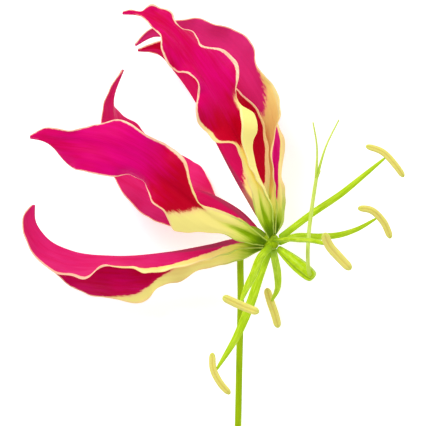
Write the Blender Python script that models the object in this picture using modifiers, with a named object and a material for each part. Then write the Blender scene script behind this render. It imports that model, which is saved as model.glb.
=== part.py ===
"""A cut glory lily flower, lying down, at real size.

The flower is laid out from its receptacle in millimetres: x to the right, y along the stem away from
its cut end, z up. Six tepals sweep back from the receptacle, six stamens and the pistil point
forward, and the hooked stem runs from the back of the receptacle to its cut end. Two of the tepals
and the stem's end touch the surface that the flower lies on, which is z = 0 in the finished part,
with the origin at the middle of the space that the flower takes up.
"""

import math

import bmesh
import bpy
import numpy as np
from mathutils import Vector

MM = 0.001

# Height of the resting surface under the receptacle's centre, where the receptacle stands in the
# finished part, and the gap between touching pieces
FLOOR = -25.0
RECEPTACLE_PLACE = (14.6, 3.7)
GAP = 0.3

# The flower's own axis points out of its mouth. The six tepals and stamens are spaced round it.
AXIS = np.array([0.740, -0.621, 0.259])
SIDE = np.array([0.643, 0.766, 0.0])
FACE = np.cross(AXIS, SIDE)
RECEPTACLE_RADIUS = 2.1

# Tepal blade
TEPAL_THICKNESS = 0.6
STEPS_ALONG = 30
STEPS_ACROSS = 10
CLAW_ROOT_WIDTH = 1.9
WAVE_REACH = 2.2

# Stamens and pistil
FILAMENT_THICKNESS = 1.0
FILAMENT_ROOT_WIDTH = 1.7
FILAMENT_TIP_WIDTH = 0.55
ANTHER_THICKNESS = 1.6
OVARY_LENGTH = 12.0
OVARY_RADIUS = 1.9
OVARY_PROFILE = [(0, 0.42), (0.15, 0.62), (0.35, 0.84), (0.6, 1.0), (0.8, 0.97), (0.93, 0.84), (1, 0.6)]
STYLE_WIDTH = 1.0
STYLE_TIP_WIDTH = 0.55
STEM_RADIUS = 0.85

# Each tepal: its angle round the axis, how far each half of its blade arches towards the inner face,
# then the course of its midrib and of its two edges from the root to the tip. The left edge comes
# first, as seen from the inner face with the tip up. A fold, where there is one, is the crest that
# the right half turns over on its way to the edge.
TEPALS = {
    "tepal_upper_near": dict(
        angle=60,
        bow=0.10,
        midrib=[
            (-2.2, 8.2, 4.5), (-3.5, 14.5, 8), (-5.2, 21, 11.5), (-8.2, 27.5, 14.5),
            (-11.7, 34, 16.5), (-15.7, 40, 17.5), (-20.2, 46.5, 16.5), (-25.7, 53, 14.5),
            (-30.7, 56.2, 12), (-37.7, 56.8, 9),
        ],
        left=[
            (-3.6, 6.5, 5), (-5, 12.5, 9), (-6.4, 16.5, 12), (-7.8, 21.2, 15.5), (-9.7, 24.5, 18.5),
            (-13.2, 24.5, 18.5), (-16, 27.2, 17), (-18, 29.2, 19), (-18.7, 33, 21.5),
            (-18.2, 36, 20), (-18.2, 39, 21.5), (-20.2, 41.5, 20.5), (-23.2, 42, 17.5),
            (-26, 44.5, 19.5), (-27, 47.5, 20.5), (-27.5, 51, 17), (-29.2, 52.7, 14),
            (-30.7, 54.4, 13.5), (-32.7, 56.1, 11.5), (-35, 56.7, 10), (-37.7, 56.8, 9),
        ],
        right=[
            (0.4, 7, 2.5), (-1, 11, 5), (-3, 14.5, 9.5), (-5, 18, 13), (-6.6, 22, 15.5),
            (-7.4, 26, 17.5), (-7.5, 30, 17.5), (-7.9, 33, 15), (-8.7, 35, 13), (-9, 37.2, 12),
            (-8.2, 40.2, 14.5), (-8.2, 43.2, 13), (-9.7, 46, 10.5), (-13, 48, 11.5),
            (-17.5, 48.7, 14), (-18.2, 50.5, 12), (-19.7, 52.2, 10), (-22, 52.7, 12),
            (-23.7, 54.7, 12.5), (-24.7, 57, 11), (-27.5, 58.2, 10), (-29.7, 59, 11.5),
            (-32.4, 57.1, 10.7), (-34.8, 57.7, 10.2), (-37.7, 56.8, 9),
        ],
        fold=[
            (0.2, 8, 2), (-1.6, 13, 5.5), (-3.4, 17.5, 8.5), (-4.3, 21, 11), (-4.6, 25, 13.5),
            (-3.6, 28, 14.5), (-4.4, 31.5, 14), (-8.5, 34.5, 14.5),
        ],
    ),
    "tepal_upper_side": dict(
        angle=0,
        bow=0.10,
        midrib=[
            (0.4, 9.2, -4.5), (-0.5, 16.7, -8.5), (-2, 25.5, -11.5), (-5.2, 34.2, -13.5),
            (-10.5, 42, -14.5), (-16.5, 47.5, -14), (-23, 51, -11.5), (-29, 52, -8.5),
            (-34.7, 49, -6),
        ],
        left=[
            (1.5, 9.2, -2), (0.9, 14.5, -3), (0.3, 20, -4), (0.1, 23.7, -5), (1.2, 28, -4.5),
            (2.2, 31.5, -3), (2, 36, -5.5), (0.5, 39.7, -7), (-1.5, 41.5, -5.5), (-3.7, 45.2, -8),
            (-4.5, 49.5, -6), (-9.7, 53.7, -8.5), (-13.7, 54.5, -6), (-17.5, 56.2, -8),
            (-21.7, 56, -7), (-27.7, 54.5, -6.5), (-30.7, 53.2, -6), (-34.7, 49, -6),
        ],
        right=[
            (3.2, 5.2, -3.4), (3.5, 8, -5.2), (3.7, 12, -8.5), (2.7, 18.5, -13), (3.7, 23, -15.5), (3.2, 27, -18.5),
            (1.4, 31, -20.5), (1.2, 35, -24.5), (-1.2, 39, -27.4), (-4, 42, -27.6), (-7.5, 46.5, -25.2),
            (-12.2, 50.5, -22.5), (-18.7, 53.2, -18), (-25.2, 53.7, -15), (-30.2, 52, -10),
            (-34.7, 49, -6),
        ],
    ),
    "tepal_upper_far": dict(
        angle=300,
        bow=0.08,
        midrib=[
            (-4.4, 9, -6.5), (-8, 15, -10.5), (-12.6, 23.7, -15), (-15.4, 29.2, -17.5),
            (-18.6, 35.6, -19), (-23.5, 42.8, -19.5), (-28, 47.7, -17.5), (-34, 48.4, -12.5),
        ],
        left=[
            (-0.7, 9.2, -3.8), (-0.3, 15.5, -3.9), (-0.5, 20.5, -4.2), (-0.7, 23.8, -4.7),
            (-1.2, 26.5, -5), (-1.7, 29.2, -4), (-3.2, 33, -4.5), (-6, 36, -4), (-8.2, 38, -6),
            (-10.7, 41, -9), (-14.2, 44, -12), (-18.2, 46.5, -14), (-22.2, 49, -15),
            (-27.2, 51, -15.5), (-30.5, 50, -14.5), (-34, 48.4, -12.5),
        ],
        right=[
            (-3.6, 7, -9), (-5.2, 12, -14), (-8, 18.5, -18.5), (-9.5, 22.5, -21.5),
            (-12.7, 28, -22), (-14.2, 32, -23.8), (-17.6, 37.2, -23), (-20.7, 41.6, -23.2),
            (-25, 46, -20.7), (-29.2, 47.7, -16.8), (-34, 48.4, -12.5),
        ],
    ),
    "tepal_left_near": dict(
        angle=120,
        bow=0.10,
        midrib=[
            (-8.2, 3.2, 6), (-14, 5.5, 9.5), (-20, 9.5, 13), (-26.5, 14.5, 16), (-33.5, 20.2, 17.5),
            (-41, 23.2, 17), (-52, 25, 14), (-60.5, 26, 10),
        ],
        left=[
            (-8.2, 0.3, 4.5), (-13, 2.3, 7), (-18.8, 2.5, 9), (-24.2, 3, 12), (-25.4, 5.5, 15),
            (-26.5, 7.5, 17), (-29.5, 10, 17.5), (-31, 14.2, 14), (-34, 16.5, 12.5),
            (-39.7, 16.3, 16), (-46, 17.5, 16), (-50.2, 19, 12.5), (-53.7, 23.2, 12),
            (-58.7, 26, 11), (-60.5, 26, 10),
        ],
        right=[
            (-7.7, 5.6, 7.5), (-14, 8.3, 11), (-17.6, 9.4, 13.5), (-20, 15, 16.5),
            (-21.5, 20.5, 18.5), (-25.7, 24, 17), (-30.5, 26.3, 20.5), (-34.5, 29, 20),
            (-37.5, 30.2, 17), (-42.7, 29.2, 16), (-49.5, 27.7, 16.5), (-56.5, 28.2, 12.5),
            (-60.5, 26, 10),
        ],
    ),
    "tepal_left_far": dict(
        angle=240,
        bow=0.05,
        midrib=[
            (-8.4, 7.8, -8.2), (-13, 10.6, -12), (-18, 12.7, -15), (-22.7, 14, -17.5),
            (-27.7, 16, -19.5), (-32.7, 19, -20), (-36.7, 23.7, -19.5), (-39.5, 29.5, -17),
            (-40, 35.5, -13), (-36.9, 44, -8.5),
        ],
        left=[
            (-6.7, 4.2, -11), (-10.8, 8, -16), (-14.4, 12.6, -19.5), (-15.4, 15.2, -20.5),
            (-17.2, 18.5, -22.5), (-20.7, 21, -24.8), (-25.2, 23.2, -26.4), (-30.7, 26, -26.2),
            (-34, 30, -23), (-37.7, 32.2, -20.5), (-39.5, 34.2, -17), (-39.3, 38.5, -12.5),
            (-36.9, 44, -8.5),
        ],
        right=[
            (-8.9, 5.9, -7.2), (-13.2, 5.6, -9.4), (-18.7, 4, -11), (-24.5, 3.7, -13.5),
            (-28.5, 5, -12), (-33.5, 8, -14.5), (-37, 12, -13), (-39.2, 15.5, -15),
            (-40.9, 19.2, -14), (-41.9, 23.5, -16), (-42.7, 27, -14), (-42.8, 30, -14),
            (-42.4, 33.5, -12), (-40.7, 38.2, -10), (-36.9, 44, -8.5),
        ],
    ),
    "tepal_lower_side": dict(
        angle=180,
        bow=0.10,
        midrib=[
            (-8.2, 0, -3), (-15.2, -1.2, -5.5), (-25.7, -3, -8.5), (-39.7, -4, -11),
            (-50.2, -2.7, -11), (-56.5, 0.5, -10), (-59.3, 4.5, -9), (-59.5, 10, -7),
        ],
        left=[
            (-6.2, -4, -3.8), (-11.7, -5.7, -7), (-18.7, -7.5, -10), (-22.7, -10, -11.5),
            (-28.5, -11.7, -15), (-31, -14.5, -14.5), (-34, -15.7, -17), (-39, -14.5, -16),
            (-45.2, -13.7, -18), (-51, -11, -15), (-54.5, -8, -14), (-58.5, -3.5, -11.5),
            (-61.2, 1.5, -10), (-61.2, 6, -8.5), (-59.5, 10, -7),
        ],
        right=[
            (-6.5, -1.6, 0), (-11.5, -3.2, -1), (-17.7, -5, -2), (-24, -6.6, -3),
            (-27.7, -7.5, -4.5), (-31.2, -7.7, -2), (-35.5, -6.5, -5), (-39.7, -6.2, -3.5),
            (-43.2, -6.2, -6.5), (-45.7, -9, -4), (-50.2, -8.5, -6), (-54.5, -7.5, -4.5),
            (-58.4, -4.7, -6.5), (-61.7, 1, -5.5), (-62.2, 6.5, -6), (-59.5, 10, -7),
        ],
    ),
}

# Each stamen: its angle round the axis, the greatest widths of its filament and its anther, the
# course of the filament after the root, and the anther's course, which crosses the filament's tip
STAMENS = {
    "upper_side": dict(
        angle=0,
        widths=(1.65, 1.7),
        filament=[(10.4, 7.2, 0), (17.6, 12.1, 0.5), (22.9, 16.4, 1), (27.6, 20.4, 1.5)],
        anther=[(23.5, 24, 4), (27.7, 22.5, 3.2), (31, 19.2, 2.4), (33.2, 16.2, 1.2)],
    ),
    "far_right": dict(
        angle=300,
        widths=(1.6, 1.85),
        filament=[
            (6, 1.3, -4.3), (12.6, 1.3, -8.5), (17.7, 1.8, -11), (22.2, 3.3, -13), (25.8, 5.2, -14),
        ],
        anther=[(22, 8.5, -12), (25.3, 8, -12.4), (28.4, 5.2, -13.4), (30.5, 0.8, -15.5)],
    ),
    "near_right": dict(
        angle=60,
        widths=(2.3, 2.3),
        filament=[(4, 0.7, 6), (6.8, 0.6, 14), (9.5, 0.5, 21), (12.4, 0.2, 27)],
        anther=[(12.6, 2.4, 31.5), (13.9, -0.7, 29.2), (16.4, -3.6, 27.8), (19.3, -6.6, 26.8)],
    ),
    "far_left": dict(
        angle=240,
        widths=(1.9, 2.1),
        filament=[(1.1, -4.7, -6), (1.8, -8.5, -12), (1.8, -12, -16.5), (1, -15, -19)],
        anther=[(-0.9, -11.8, -21.4), (0, -15, -21), (1.2, -18.5, -21.2), (2.1, -22, -22)],
    ),
    "near_left": dict(
        angle=120,
        widths=(2.0, 2.1),
        filament=[(-2.4, -3.4, 6), (-4.4, -7.8, 14), (-6.3, -11.3, 21), (-7.7, -14, 26)],
        anther=[(-12.1, -13.2, 29), (-9, -14.7, 28), (-6, -16, 27.6), (-3.2, -17, 28)],
    ),
    "lower_side": dict(
        angle=180,
        widths=(2.2, 1.8),
        filament=[(-2.7, -8, 0), (-5, -15, 0.5), (-8.3, -23, 1), (-12.6, -31.4, 1.5)],
        anther=[(-14.7, -27.5, 4), (-14.4, -31.8, 3.4), (-12.6, -35.3, 2.6), (-10.2, -38, 1.4)],
    ),
}

# The style leaves the ovary's tip, turns up sharply and forks. The third stigma branch is a stub.
STYLE_COURSE = [
    (9.7, -8.5, 5.7), (9.3, -7, 6.1), (9.1, -4, 6.1), (9.3, 1.5, 5.8), (10, 7.7, 5.7), (11.3, 16.5, 6),
]
STIGMA_LEFT = [(11.3, 24.2, 7), (10.3, 30, 8.5)]
STIGMA_RIGHT = [(13.7, 24, 5.2), (17, 30.7, 4)]
STIGMA_STUB = [(12.2, 17.9, 6.7)]

# The stem leaves the receptacle's back, hooks over and runs straight to its cut end
STEM_HOOK = [(-3.9, 2.9, -1.7), (-6.1, 3.1, -3.4), (-7.4, 1.6, -5.6), (-7.6, -3, -8)]
STEM_RUN = [(-7.5, -14, -11.5), (-7.8, -28, -16.5), (-8.1, -44, -22)]
STEM_REST_FROM = -57.0
STEM_CUT_END = -66.0
STEM_REST_X = -8.4


def direction_at(angle):
    """Unit vector away from the flower's axis, at an angle in degrees round it."""
    turn = math.radians(angle)
    return math.cos(turn) * SIDE + math.sin(turn) * FACE


def tangent_at(angle):
    """Unit vector round the flower's axis at an angle in degrees."""
    turn = math.radians(angle)
    return math.cos(turn) * FACE - math.sin(turn) * SIDE


def smooth_curve(points, params, at):
    """A smooth curve through the points at the given parameters, read at other parameters."""
    points = np.asarray(points, float)
    params = np.asarray(params, float)
    steps = np.diff(params)[:, None]
    slopes = np.diff(points, axis=0) / steps
    tangents = np.vstack([slopes[:1], slopes, slopes[-1:]])
    weights = np.concatenate([[1.0], np.diff(params), [1.0]])[:, None]
    inner = (tangents[:-1] * weights[1:] + tangents[1:] * weights[:-1]) / (weights[1:] + weights[:-1])
    span = np.clip(np.searchsorted(params, at, side="right") - 1, 0, len(params) - 2)
    width = (params[span + 1] - params[span])[:, None]
    t = (np.asarray(at) - params[span])[:, None] / width
    return (
        points[span] * (2 * t**3 - 3 * t**2 + 1)
        + inner[span] * width * (t**3 - 2 * t**2 + t)
        + points[span + 1] * (3 * t**2 - 2 * t**3)
        + inner[span + 1] * width * (t**3 - t**2)
    )


def chord_params(points):
    """Distance travelled along the points, from 0 to 1."""
    lengths = np.linalg.norm(np.diff(np.asarray(points, float), axis=0), axis=1)
    return np.concatenate([[0.0], np.cumsum(lengths)]) / lengths.sum()


def resampled(points, count):
    """A smooth curve through the points, read at evenly spaced parameters."""
    return smooth_curve(points, chord_params(points), np.linspace(0, 1, count))


def beside(points, rib):
    """Where along the midrib each point of an edge lies, half by nearness and half by travel."""
    spots = np.linspace(0, 1, len(rib))
    away = np.linalg.norm(np.asarray(points, float)[:, None] - rib[None], axis=2)
    nearest = spots[away.argmin(axis=1)]
    mixed = 0.5 * nearest + 0.5 * chord_params(points)
    mixed[0], mixed[-1] = 0.0, 1.0
    least_step = 0.004
    for i in range(1, len(mixed)):
        mixed[i] = max(mixed[i], mixed[i - 1] + least_step)
    return mixed / mixed[-1]


def without_waves(edge, reach=0.07):
    """The edge with its waves averaged away, and the same ends."""
    count = len(edge)
    spots = np.linspace(0, 1, count)
    kernel = np.exp(-0.5 * ((spots[:, None] - spots[None]) / reach) ** 2)
    ends = np.minimum(1.0, np.minimum(spots, 1 - spots) / (2 * reach))[:, None]
    calm = kernel @ edge / kernel.sum(axis=1)[:, None]
    return edge + (calm - edge) * ends


class Tepal:
    """The middle surface of one tepal, from root to tip and from the left edge to the right."""

    DENSE = 400

    def __init__(self, angle, bow, midrib, left, right, fold=None):
        out = direction_at(angle)
        root = (RECEPTACLE_RADIUS + GAP) * (0.98 * out - 0.20 * AXIS)
        half_root = 0.5 * CLAW_ROOT_WIDTH * tangent_at(angle)
        self.rib = resampled([root, *midrib], self.DENSE)
        self.left = self.edge([root + half_root, *left])
        self.right = self.edge([root - half_root, *right])
        self.left_calm = without_waves(self.left)
        self.right_calm = without_waves(self.right)
        along = np.gradient(self.rib, axis=0)
        face = np.cross(along, self.right_calm - self.left_calm)
        face /= np.linalg.norm(face, axis=1)[:, None] + 1e-9
        self.left_middle = self.middle(self.left_calm, face, bow)
        self.right_middle = self.middle(self.right_calm, face, bow)
        if fold:
            self.turn_over([root - 0.5 * half_root, *fold])

    def edge(self, points):
        return smooth_curve(points, beside(points, self.rib), np.linspace(0, 1, self.DENSE))

    def middle(self, edge, face, bow):
        width = np.linalg.norm(edge - self.rib, axis=1)[:, None]
        return 0.5 * (self.rib + edge) - bow * width * face

    def turn_over(self, fold):
        """Leads the right half over the fold's crest, fading out where the fold ends."""
        places = beside(fold + [self.rib[-1]], self.rib)[: len(fold)]
        spots = np.linspace(0, 1, self.DENSE)
        crest = smooth_curve(fold, places, np.minimum(spots, places[-1]))
        share = np.clip((places[-1] - spots) / 0.06, 0, 1)[:, None]
        self.right_middle += (crest - self.right_middle) * share

    def at(self, u, v):
        """Points of the middle surface. u runs from root to tip, v from -1 at the left edge to 1."""
        u, v = np.broadcast_arrays(np.asarray(u, float), np.asarray(v, float))
        place = u.ravel() * (self.DENSE - 1)
        low = np.clip(place.astype(int), 0, self.DENSE - 2)
        part = (place - low)[:, None]
        rib, left, right, left_calm, right_calm, left_middle, right_middle = (
            curve[low] * (1 - part) + curve[low + 1] * part
            for curve in (
                self.rib, self.left, self.right, self.left_calm, self.right_calm,
                self.left_middle, self.right_middle,
            )
        )
        knots = [left_calm, left_middle, rib, right_middle, right_calm]
        slopes = [
            left_middle - left_calm, 0.5 * (rib - left_calm), 0.5 * (right_middle - left_middle),
            0.5 * (right_calm - rib), right_calm - right_middle,
        ]
        across = (v.ravel() + 1) * 2
        span = np.clip(across.astype(int), 0, 3)
        t = (across - span)[:, None]
        rows = np.arange(len(span))
        knots, slopes = np.array(knots), np.array(slopes)
        spot = (
            knots[span, rows] * (2 * t**3 - 3 * t**2 + 1)
            + slopes[span, rows] * (t**3 - 2 * t**2 + t)
            + knots[span + 1, rows] * (3 * t**2 - 2 * t**3)
            + slopes[span + 1, rows] * (t**3 - t**2)
        )
        sideways = v.ravel()[:, None]
        waves = np.where(sideways < 0, left - left_calm, right - right_calm)
        spot = spot + waves * np.abs(sideways) ** WAVE_REACH
        spot[:, 2] = np.maximum(spot[:, 2], FLOOR + 0.5 * TEPAL_THICKNESS)
        return spot.reshape(u.shape + (3,))


def to_world(points):
    """Millimetres from the receptacle to metres from the origin, and never under the surface."""
    places = np.array(points, float) + np.array([*RECEPTACLE_PLACE, -FLOOR])
    places[..., 2] = np.maximum(places[..., 2], 0.0)
    return places * MM


def made_material(name, colour, roughness):
    material = bpy.data.materials.new(name)
    material.use_nodes = True
    shader = material.node_tree.nodes["Principled BSDF"]
    shader.inputs["Base Color"].default_value = (*colour, 1.0)
    shader.inputs["Roughness"].default_value = roughness
    shader.inputs["Metallic"].default_value = 0.0
    return material


def placed(name, mesh, material, collection):
    obj = bpy.data.objects.new(name, mesh)
    mesh.materials.append(material)
    mesh.shade_smooth()
    collection.objects.link(obj)
    return obj


def build_tepal(name, shape, material, collection):
    """A grid bent to the tepal's middle surface, split into triangles, then thickened."""
    tepal = Tepal(**shape)
    grid = bmesh.new()
    bmesh.ops.create_grid(grid, x_segments=STEPS_ALONG, y_segments=STEPS_ACROSS, size=1.0)
    blunt_tip = 0.985
    coords = np.array([vertex.co for vertex in grid.verts])
    u = (coords[:, 0] + 1) / 2 * blunt_tip
    places = to_world(tepal.at(u, coords[:, 1]))
    for vertex, place in zip(grid.verts, places):
        vertex.co = place
    bmesh.ops.triangulate(grid, faces=grid.faces[:])
    bmesh.ops.recalc_face_normals(grid, faces=grid.faces[:])
    mesh = bpy.data.meshes.new(name)
    grid.to_mesh(mesh)
    grid.free()
    obj = placed(name, mesh, material, collection)
    solidify = obj.modifiers.new("thickness", "SOLIDIFY")
    solidify.thickness = TEPAL_THICKNESS * MM
    solidify.offset = 0.0
    return obj


def loft(name, centres, sections, material, collection):
    """A closed solid through cross-sections of unlike size along a course.

    Each section is a list of (sideways, upwards) offsets in millimetres. Upwards is away from the
    resting surface, or along y where the course itself runs nearly straight up.
    """
    centres = np.asarray(centres, float)
    along = np.gradient(centres, axis=0)
    along /= np.linalg.norm(along, axis=1)[:, None]
    steepest = 0.93
    away = Vector((0, 1, 0)) if abs(along[:, 2]).max() > steepest else Vector((0, 0, 1))
    body = bmesh.new()
    rings = []
    for centre, forward, section in zip(centres, along, sections):
        forward = Vector(forward)
        up = (away - forward * away.dot(forward)).normalized()
        sideways = forward.cross(up)
        ring = []
        for across, high in section:
            spot = Vector(centre) + sideways * across + up * high
            ring.append(body.verts.new(to_world(spot)))
        rings.append(ring)
    for low, high in zip(rings, rings[1:]):
        for i in range(len(low)):
            j = (i + 1) % len(low)
            body.faces.new((low[i], low[j], high[j], high[i]))
    body.faces.new(rings[0][::-1])
    body.faces.new(rings[-1])
    bmesh.ops.recalc_face_normals(body, faces=body.faces[:])
    mesh = bpy.data.meshes.new(name)
    body.to_mesh(mesh)
    body.free()
    return placed(name, mesh, material, collection)


def oval(width, thickness, sides, turned=0.0):
    turns = [2 * math.pi * (i + turned) / sides for i in range(sides)]
    return [(0.5 * width * math.cos(t), 0.5 * thickness * math.sin(t)) for t in turns]


def build_filament(name, stamen, material, collection, steps=13, sides=8):
    """A spindle: narrow at the root, broad and flattened in the middle, fine at the tip."""
    out = direction_at(stamen["angle"])
    root = (RECEPTACLE_RADIUS + GAP) * (0.88 * out + 0.47 * AXIS)
    anther = resampled(stamen["anther"], 60)
    *course, before_tip = np.array(stamen["filament"], float)
    seat = anther[np.linalg.norm(anther - before_tip, axis=1).argmin()]
    approach = (seat - before_tip) / np.linalg.norm(seat - before_tip)
    tip = seat - approach * (0.5 * ANTHER_THICKNESS + GAP)
    course = resampled([root, *course, tip], steps)
    greatest, _ = stamen["widths"]
    sections = []
    for t in np.linspace(0, 1, steps):
        ends = FILAMENT_ROOT_WIDTH * (1 - t) + FILAMENT_TIP_WIDTH * t
        swell = math.sin(math.pi * t**0.7) ** 0.8
        width = ends + (greatest - ends) * swell
        thick = min(width, FILAMENT_THICKNESS)
        sections.append(oval(width, thick, sides))
    return loft(name, course, sections, material, collection)


def build_anther(name, stamen, material, collection, steps=11, sides=10):
    """A curved bean with blunt ends and a groove along its outer side."""
    course = resampled(stamen["anther"], steps)
    _, broad = stamen["widths"]
    sections = []
    for t in np.linspace(0, 1, steps):
        taper = (1 - (2 * t - 1) ** 6) ** 0.5 * 0.75 + 0.25
        section = oval(broad * taper, ANTHER_THICKNESS * taper, sides)
        groove = 0.14 * ANTHER_THICKNESS * taper
        sections.append(
            [(x, y - math.copysign(groove, y) * max(0.0, 1 - abs(x) / 0.3)) for x, y in section]
        )
    return loft(name, course, sections, material, collection)


def build_ovary(material, collection, steps=12, sides=18):
    """A three-lobed seed case along the flower's axis, widest beyond its middle."""
    start = RECEPTACLE_RADIUS + GAP
    course = [AXIS * (start + OVARY_LENGTH * t) for t in np.linspace(0, 1, steps)]
    sections = []
    for t in np.linspace(0, 1, steps):
        radius = OVARY_RADIUS * np.interp(t, *zip(*OVARY_PROFILE))
        ring = []
        for i in range(sides):
            turn = 2 * math.pi * i / sides
            lobed = radius * (1 - 0.16 * (0.5 - 0.5 * math.cos(3 * turn + 0.6)) ** 2)
            ring.append((lobed * math.cos(turn), lobed * math.sin(turn)))
        sections.append(ring)
    return loft("ovary", course, sections, material, collection)


def joined(name, pieces, material, collection):
    """One body from overlapping pieces, by Boolean unions that are then applied."""
    base = pieces[0]
    for other in pieces[1:]:
        union = base.modifiers.new("join", "BOOLEAN")
        union.operation = "UNION"
        union.object = other
        union.solver = "EXACT"
    bpy.context.view_layer.update()
    evaluated = base.evaluated_get(bpy.context.evaluated_depsgraph_get())
    mesh = bpy.data.meshes.new_from_object(evaluated)
    mesh.name = name
    for piece in pieces:
        bpy.data.objects.remove(piece)
    mesh.materials.clear()
    return placed(name, mesh, material, collection)


def tapered(name, points, widths, steps, sides, material, collection):
    course = resampled(points, steps)
    sizes = np.interp(np.linspace(0, 1, steps), np.linspace(0, 1, len(widths)), widths)
    return loft(name, course, [oval(w, w, sides) for w in sizes], material, collection)


def build_style(material, collection):
    fork = STYLE_COURSE[-1]
    before_fork = tuple(0.12 * np.array(STYLE_COURSE[-2]) + 0.88 * np.array(fork))
    wide, fine = STYLE_WIDTH, STYLE_TIP_WIDTH
    pieces = [
        tapered("shaft", STYLE_COURSE, [wide, wide, 0.9 * wide], 14, 8, material, collection),
        tapered(
            "branch_left", [before_fork, *STIGMA_LEFT], [0.8 * wide, fine, fine], 7, 7,
            material, collection,
        ),
        tapered(
            "branch_right", [before_fork, *STIGMA_RIGHT], [0.8 * wide, fine, fine], 7, 7,
            material, collection,
        ),
        tapered(
            "branch_stub", [before_fork, *STIGMA_STUB], [0.7 * wide, 0.7 * fine], 3, 7,
            material, collection,
        ),
    ]
    return joined("style", pieces, material, collection)


def build_stem(material, collection):
    """The stalk, and the receptacle that it swells into."""
    start = -0.6 * RECEPTACLE_RADIUS * AXIS
    sides = 8
    resting = FLOOR + STEM_RADIUS * math.cos(math.pi / sides)
    rest_from = (STEM_REST_X, STEM_REST_FROM, resting)
    cut_end = (STEM_REST_X, STEM_CUT_END, resting)
    course = [*resampled([start, *STEM_HOOK, *STEM_RUN, rest_from], 32), cut_end]
    section = oval(2 * STEM_RADIUS, 2 * STEM_RADIUS, sides, turned=0.5)
    stalk = loft("stalk", course, [section] * len(course), material, collection)
    ball = bmesh.new()
    bmesh.ops.create_icosphere(ball, subdivisions=2, radius=RECEPTACLE_RADIUS * MM)
    bmesh.ops.translate(ball, vec=Vector(to_world((0, 0, 0))), verts=ball.verts[:])
    mesh = bpy.data.meshes.new("receptacle")
    ball.to_mesh(mesh)
    ball.free()
    receptacle = placed("receptacle", mesh, material, collection)
    return joined("stem", [stalk, receptacle], material, collection)


def main():
    for obj in list(bpy.data.objects):
        bpy.data.objects.remove(obj)
    collection = bpy.data.collections.new("glory_lily")
    bpy.context.scene.collection.children.link(collection)
    crimson = made_material("tepal_crimson", (0.58, 0.01, 0.09), 0.5)
    green = made_material("stem_green", (0.25, 0.42, 0.01), 0.5)
    lime = made_material("filament_green", (0.50, 0.68, 0.03), 0.45)
    pollen = made_material("anther_yellow", (0.70, 0.62, 0.20), 0.8)
    pale = made_material("style_green", (0.60, 0.75, 0.14), 0.45)
    build_stem(green, collection)
    for name, shape in TEPALS.items():
        build_tepal(name, shape, crimson, collection)
    for name, stamen in STAMENS.items():
        build_filament("filament_" + name, stamen, lime, collection)
        build_anther("anther_" + name, stamen, pollen, collection)
    build_ovary(lime, collection)
    build_style(pale, collection)


main()
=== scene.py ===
# %% [markdown]
# # A glory lily flower, lying down
#
# A glory lily's six tepals sweep back from a small green knob, and its six stamens and the pistil
# point forward. This flower has been picked and laid on a pale table, and the camera looks straight
# down on it. The first step loads the plain solids of the part, which fix every size, and keeps
# their box, so that the dressed flower can be compared with it at the end.

# %% Load the plain flower
import math

import bmesh
import bpy
import numpy as np
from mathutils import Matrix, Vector


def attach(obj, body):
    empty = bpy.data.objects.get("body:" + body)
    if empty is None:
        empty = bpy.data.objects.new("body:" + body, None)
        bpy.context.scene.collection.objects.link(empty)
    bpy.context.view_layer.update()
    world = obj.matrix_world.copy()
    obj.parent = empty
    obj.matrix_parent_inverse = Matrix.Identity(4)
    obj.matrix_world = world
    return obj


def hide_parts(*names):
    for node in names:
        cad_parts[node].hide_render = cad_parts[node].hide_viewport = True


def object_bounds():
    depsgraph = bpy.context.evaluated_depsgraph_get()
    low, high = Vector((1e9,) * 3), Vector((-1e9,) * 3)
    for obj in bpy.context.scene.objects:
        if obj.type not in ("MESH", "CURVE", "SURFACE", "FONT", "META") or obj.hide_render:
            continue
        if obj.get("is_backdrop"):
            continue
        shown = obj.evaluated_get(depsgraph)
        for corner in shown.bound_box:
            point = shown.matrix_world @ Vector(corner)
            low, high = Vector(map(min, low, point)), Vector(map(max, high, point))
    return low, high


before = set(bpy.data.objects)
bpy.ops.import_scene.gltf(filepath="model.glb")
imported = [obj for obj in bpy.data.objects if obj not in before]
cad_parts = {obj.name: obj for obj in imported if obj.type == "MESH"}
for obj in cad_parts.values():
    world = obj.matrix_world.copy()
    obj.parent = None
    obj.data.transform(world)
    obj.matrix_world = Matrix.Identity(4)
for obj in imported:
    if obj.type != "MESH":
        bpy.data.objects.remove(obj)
cad_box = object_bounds()
print("plain nodes:", len(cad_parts))

# %% [markdown]
# The flower is described in millimetres from its receptacle, the knob where everything meets: x to
# the right, y up the picture and z towards the camera. These values carry such a point to the
# part's own metres, and give the directions in which the petals and stamens are set round the
# flower's axis.

# %% Places and directions
MM = 0.001
FLOOR = -25.0
RECEPTACLE_PLACE = (14.6, 3.7)
GAP = 0.3
AXIS = np.array([0.740, -0.621, 0.259])
SIDE = np.array([0.643, 0.766, 0.0])
FACE = np.cross(AXIS, SIDE)
RECEPTACLE_RADIUS = 2.1


def direction_at(angle):
    """Unit vector away from the flower's axis, at an angle in degrees round it."""
    turn = math.radians(angle)
    return math.cos(turn) * SIDE + math.sin(turn) * FACE


def tangent_at(angle):
    """Unit vector round the flower's axis at an angle in degrees."""
    turn = math.radians(angle)
    return math.cos(turn) * FACE - math.sin(turn) * SIDE


def to_world(points):
    """Millimetres from the receptacle to metres in the part, and never under the table."""
    places = np.array(points, float) + np.array([*RECEPTACLE_PLACE, -FLOOR])
    places[..., 2] = np.maximum(places[..., 2], 0.0)
    return places * MM


print("receptacle at", np.round(to_world((0, 0, 0)), 4))

# %% [markdown]
# Every petal edge and every stalk is a smooth line through a few chosen points. Blender's own
# curves could draw them, but a petal needs its midrib and both edges read side by side, so a short
# function works out a smooth cubic through the points at any places along it.

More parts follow.
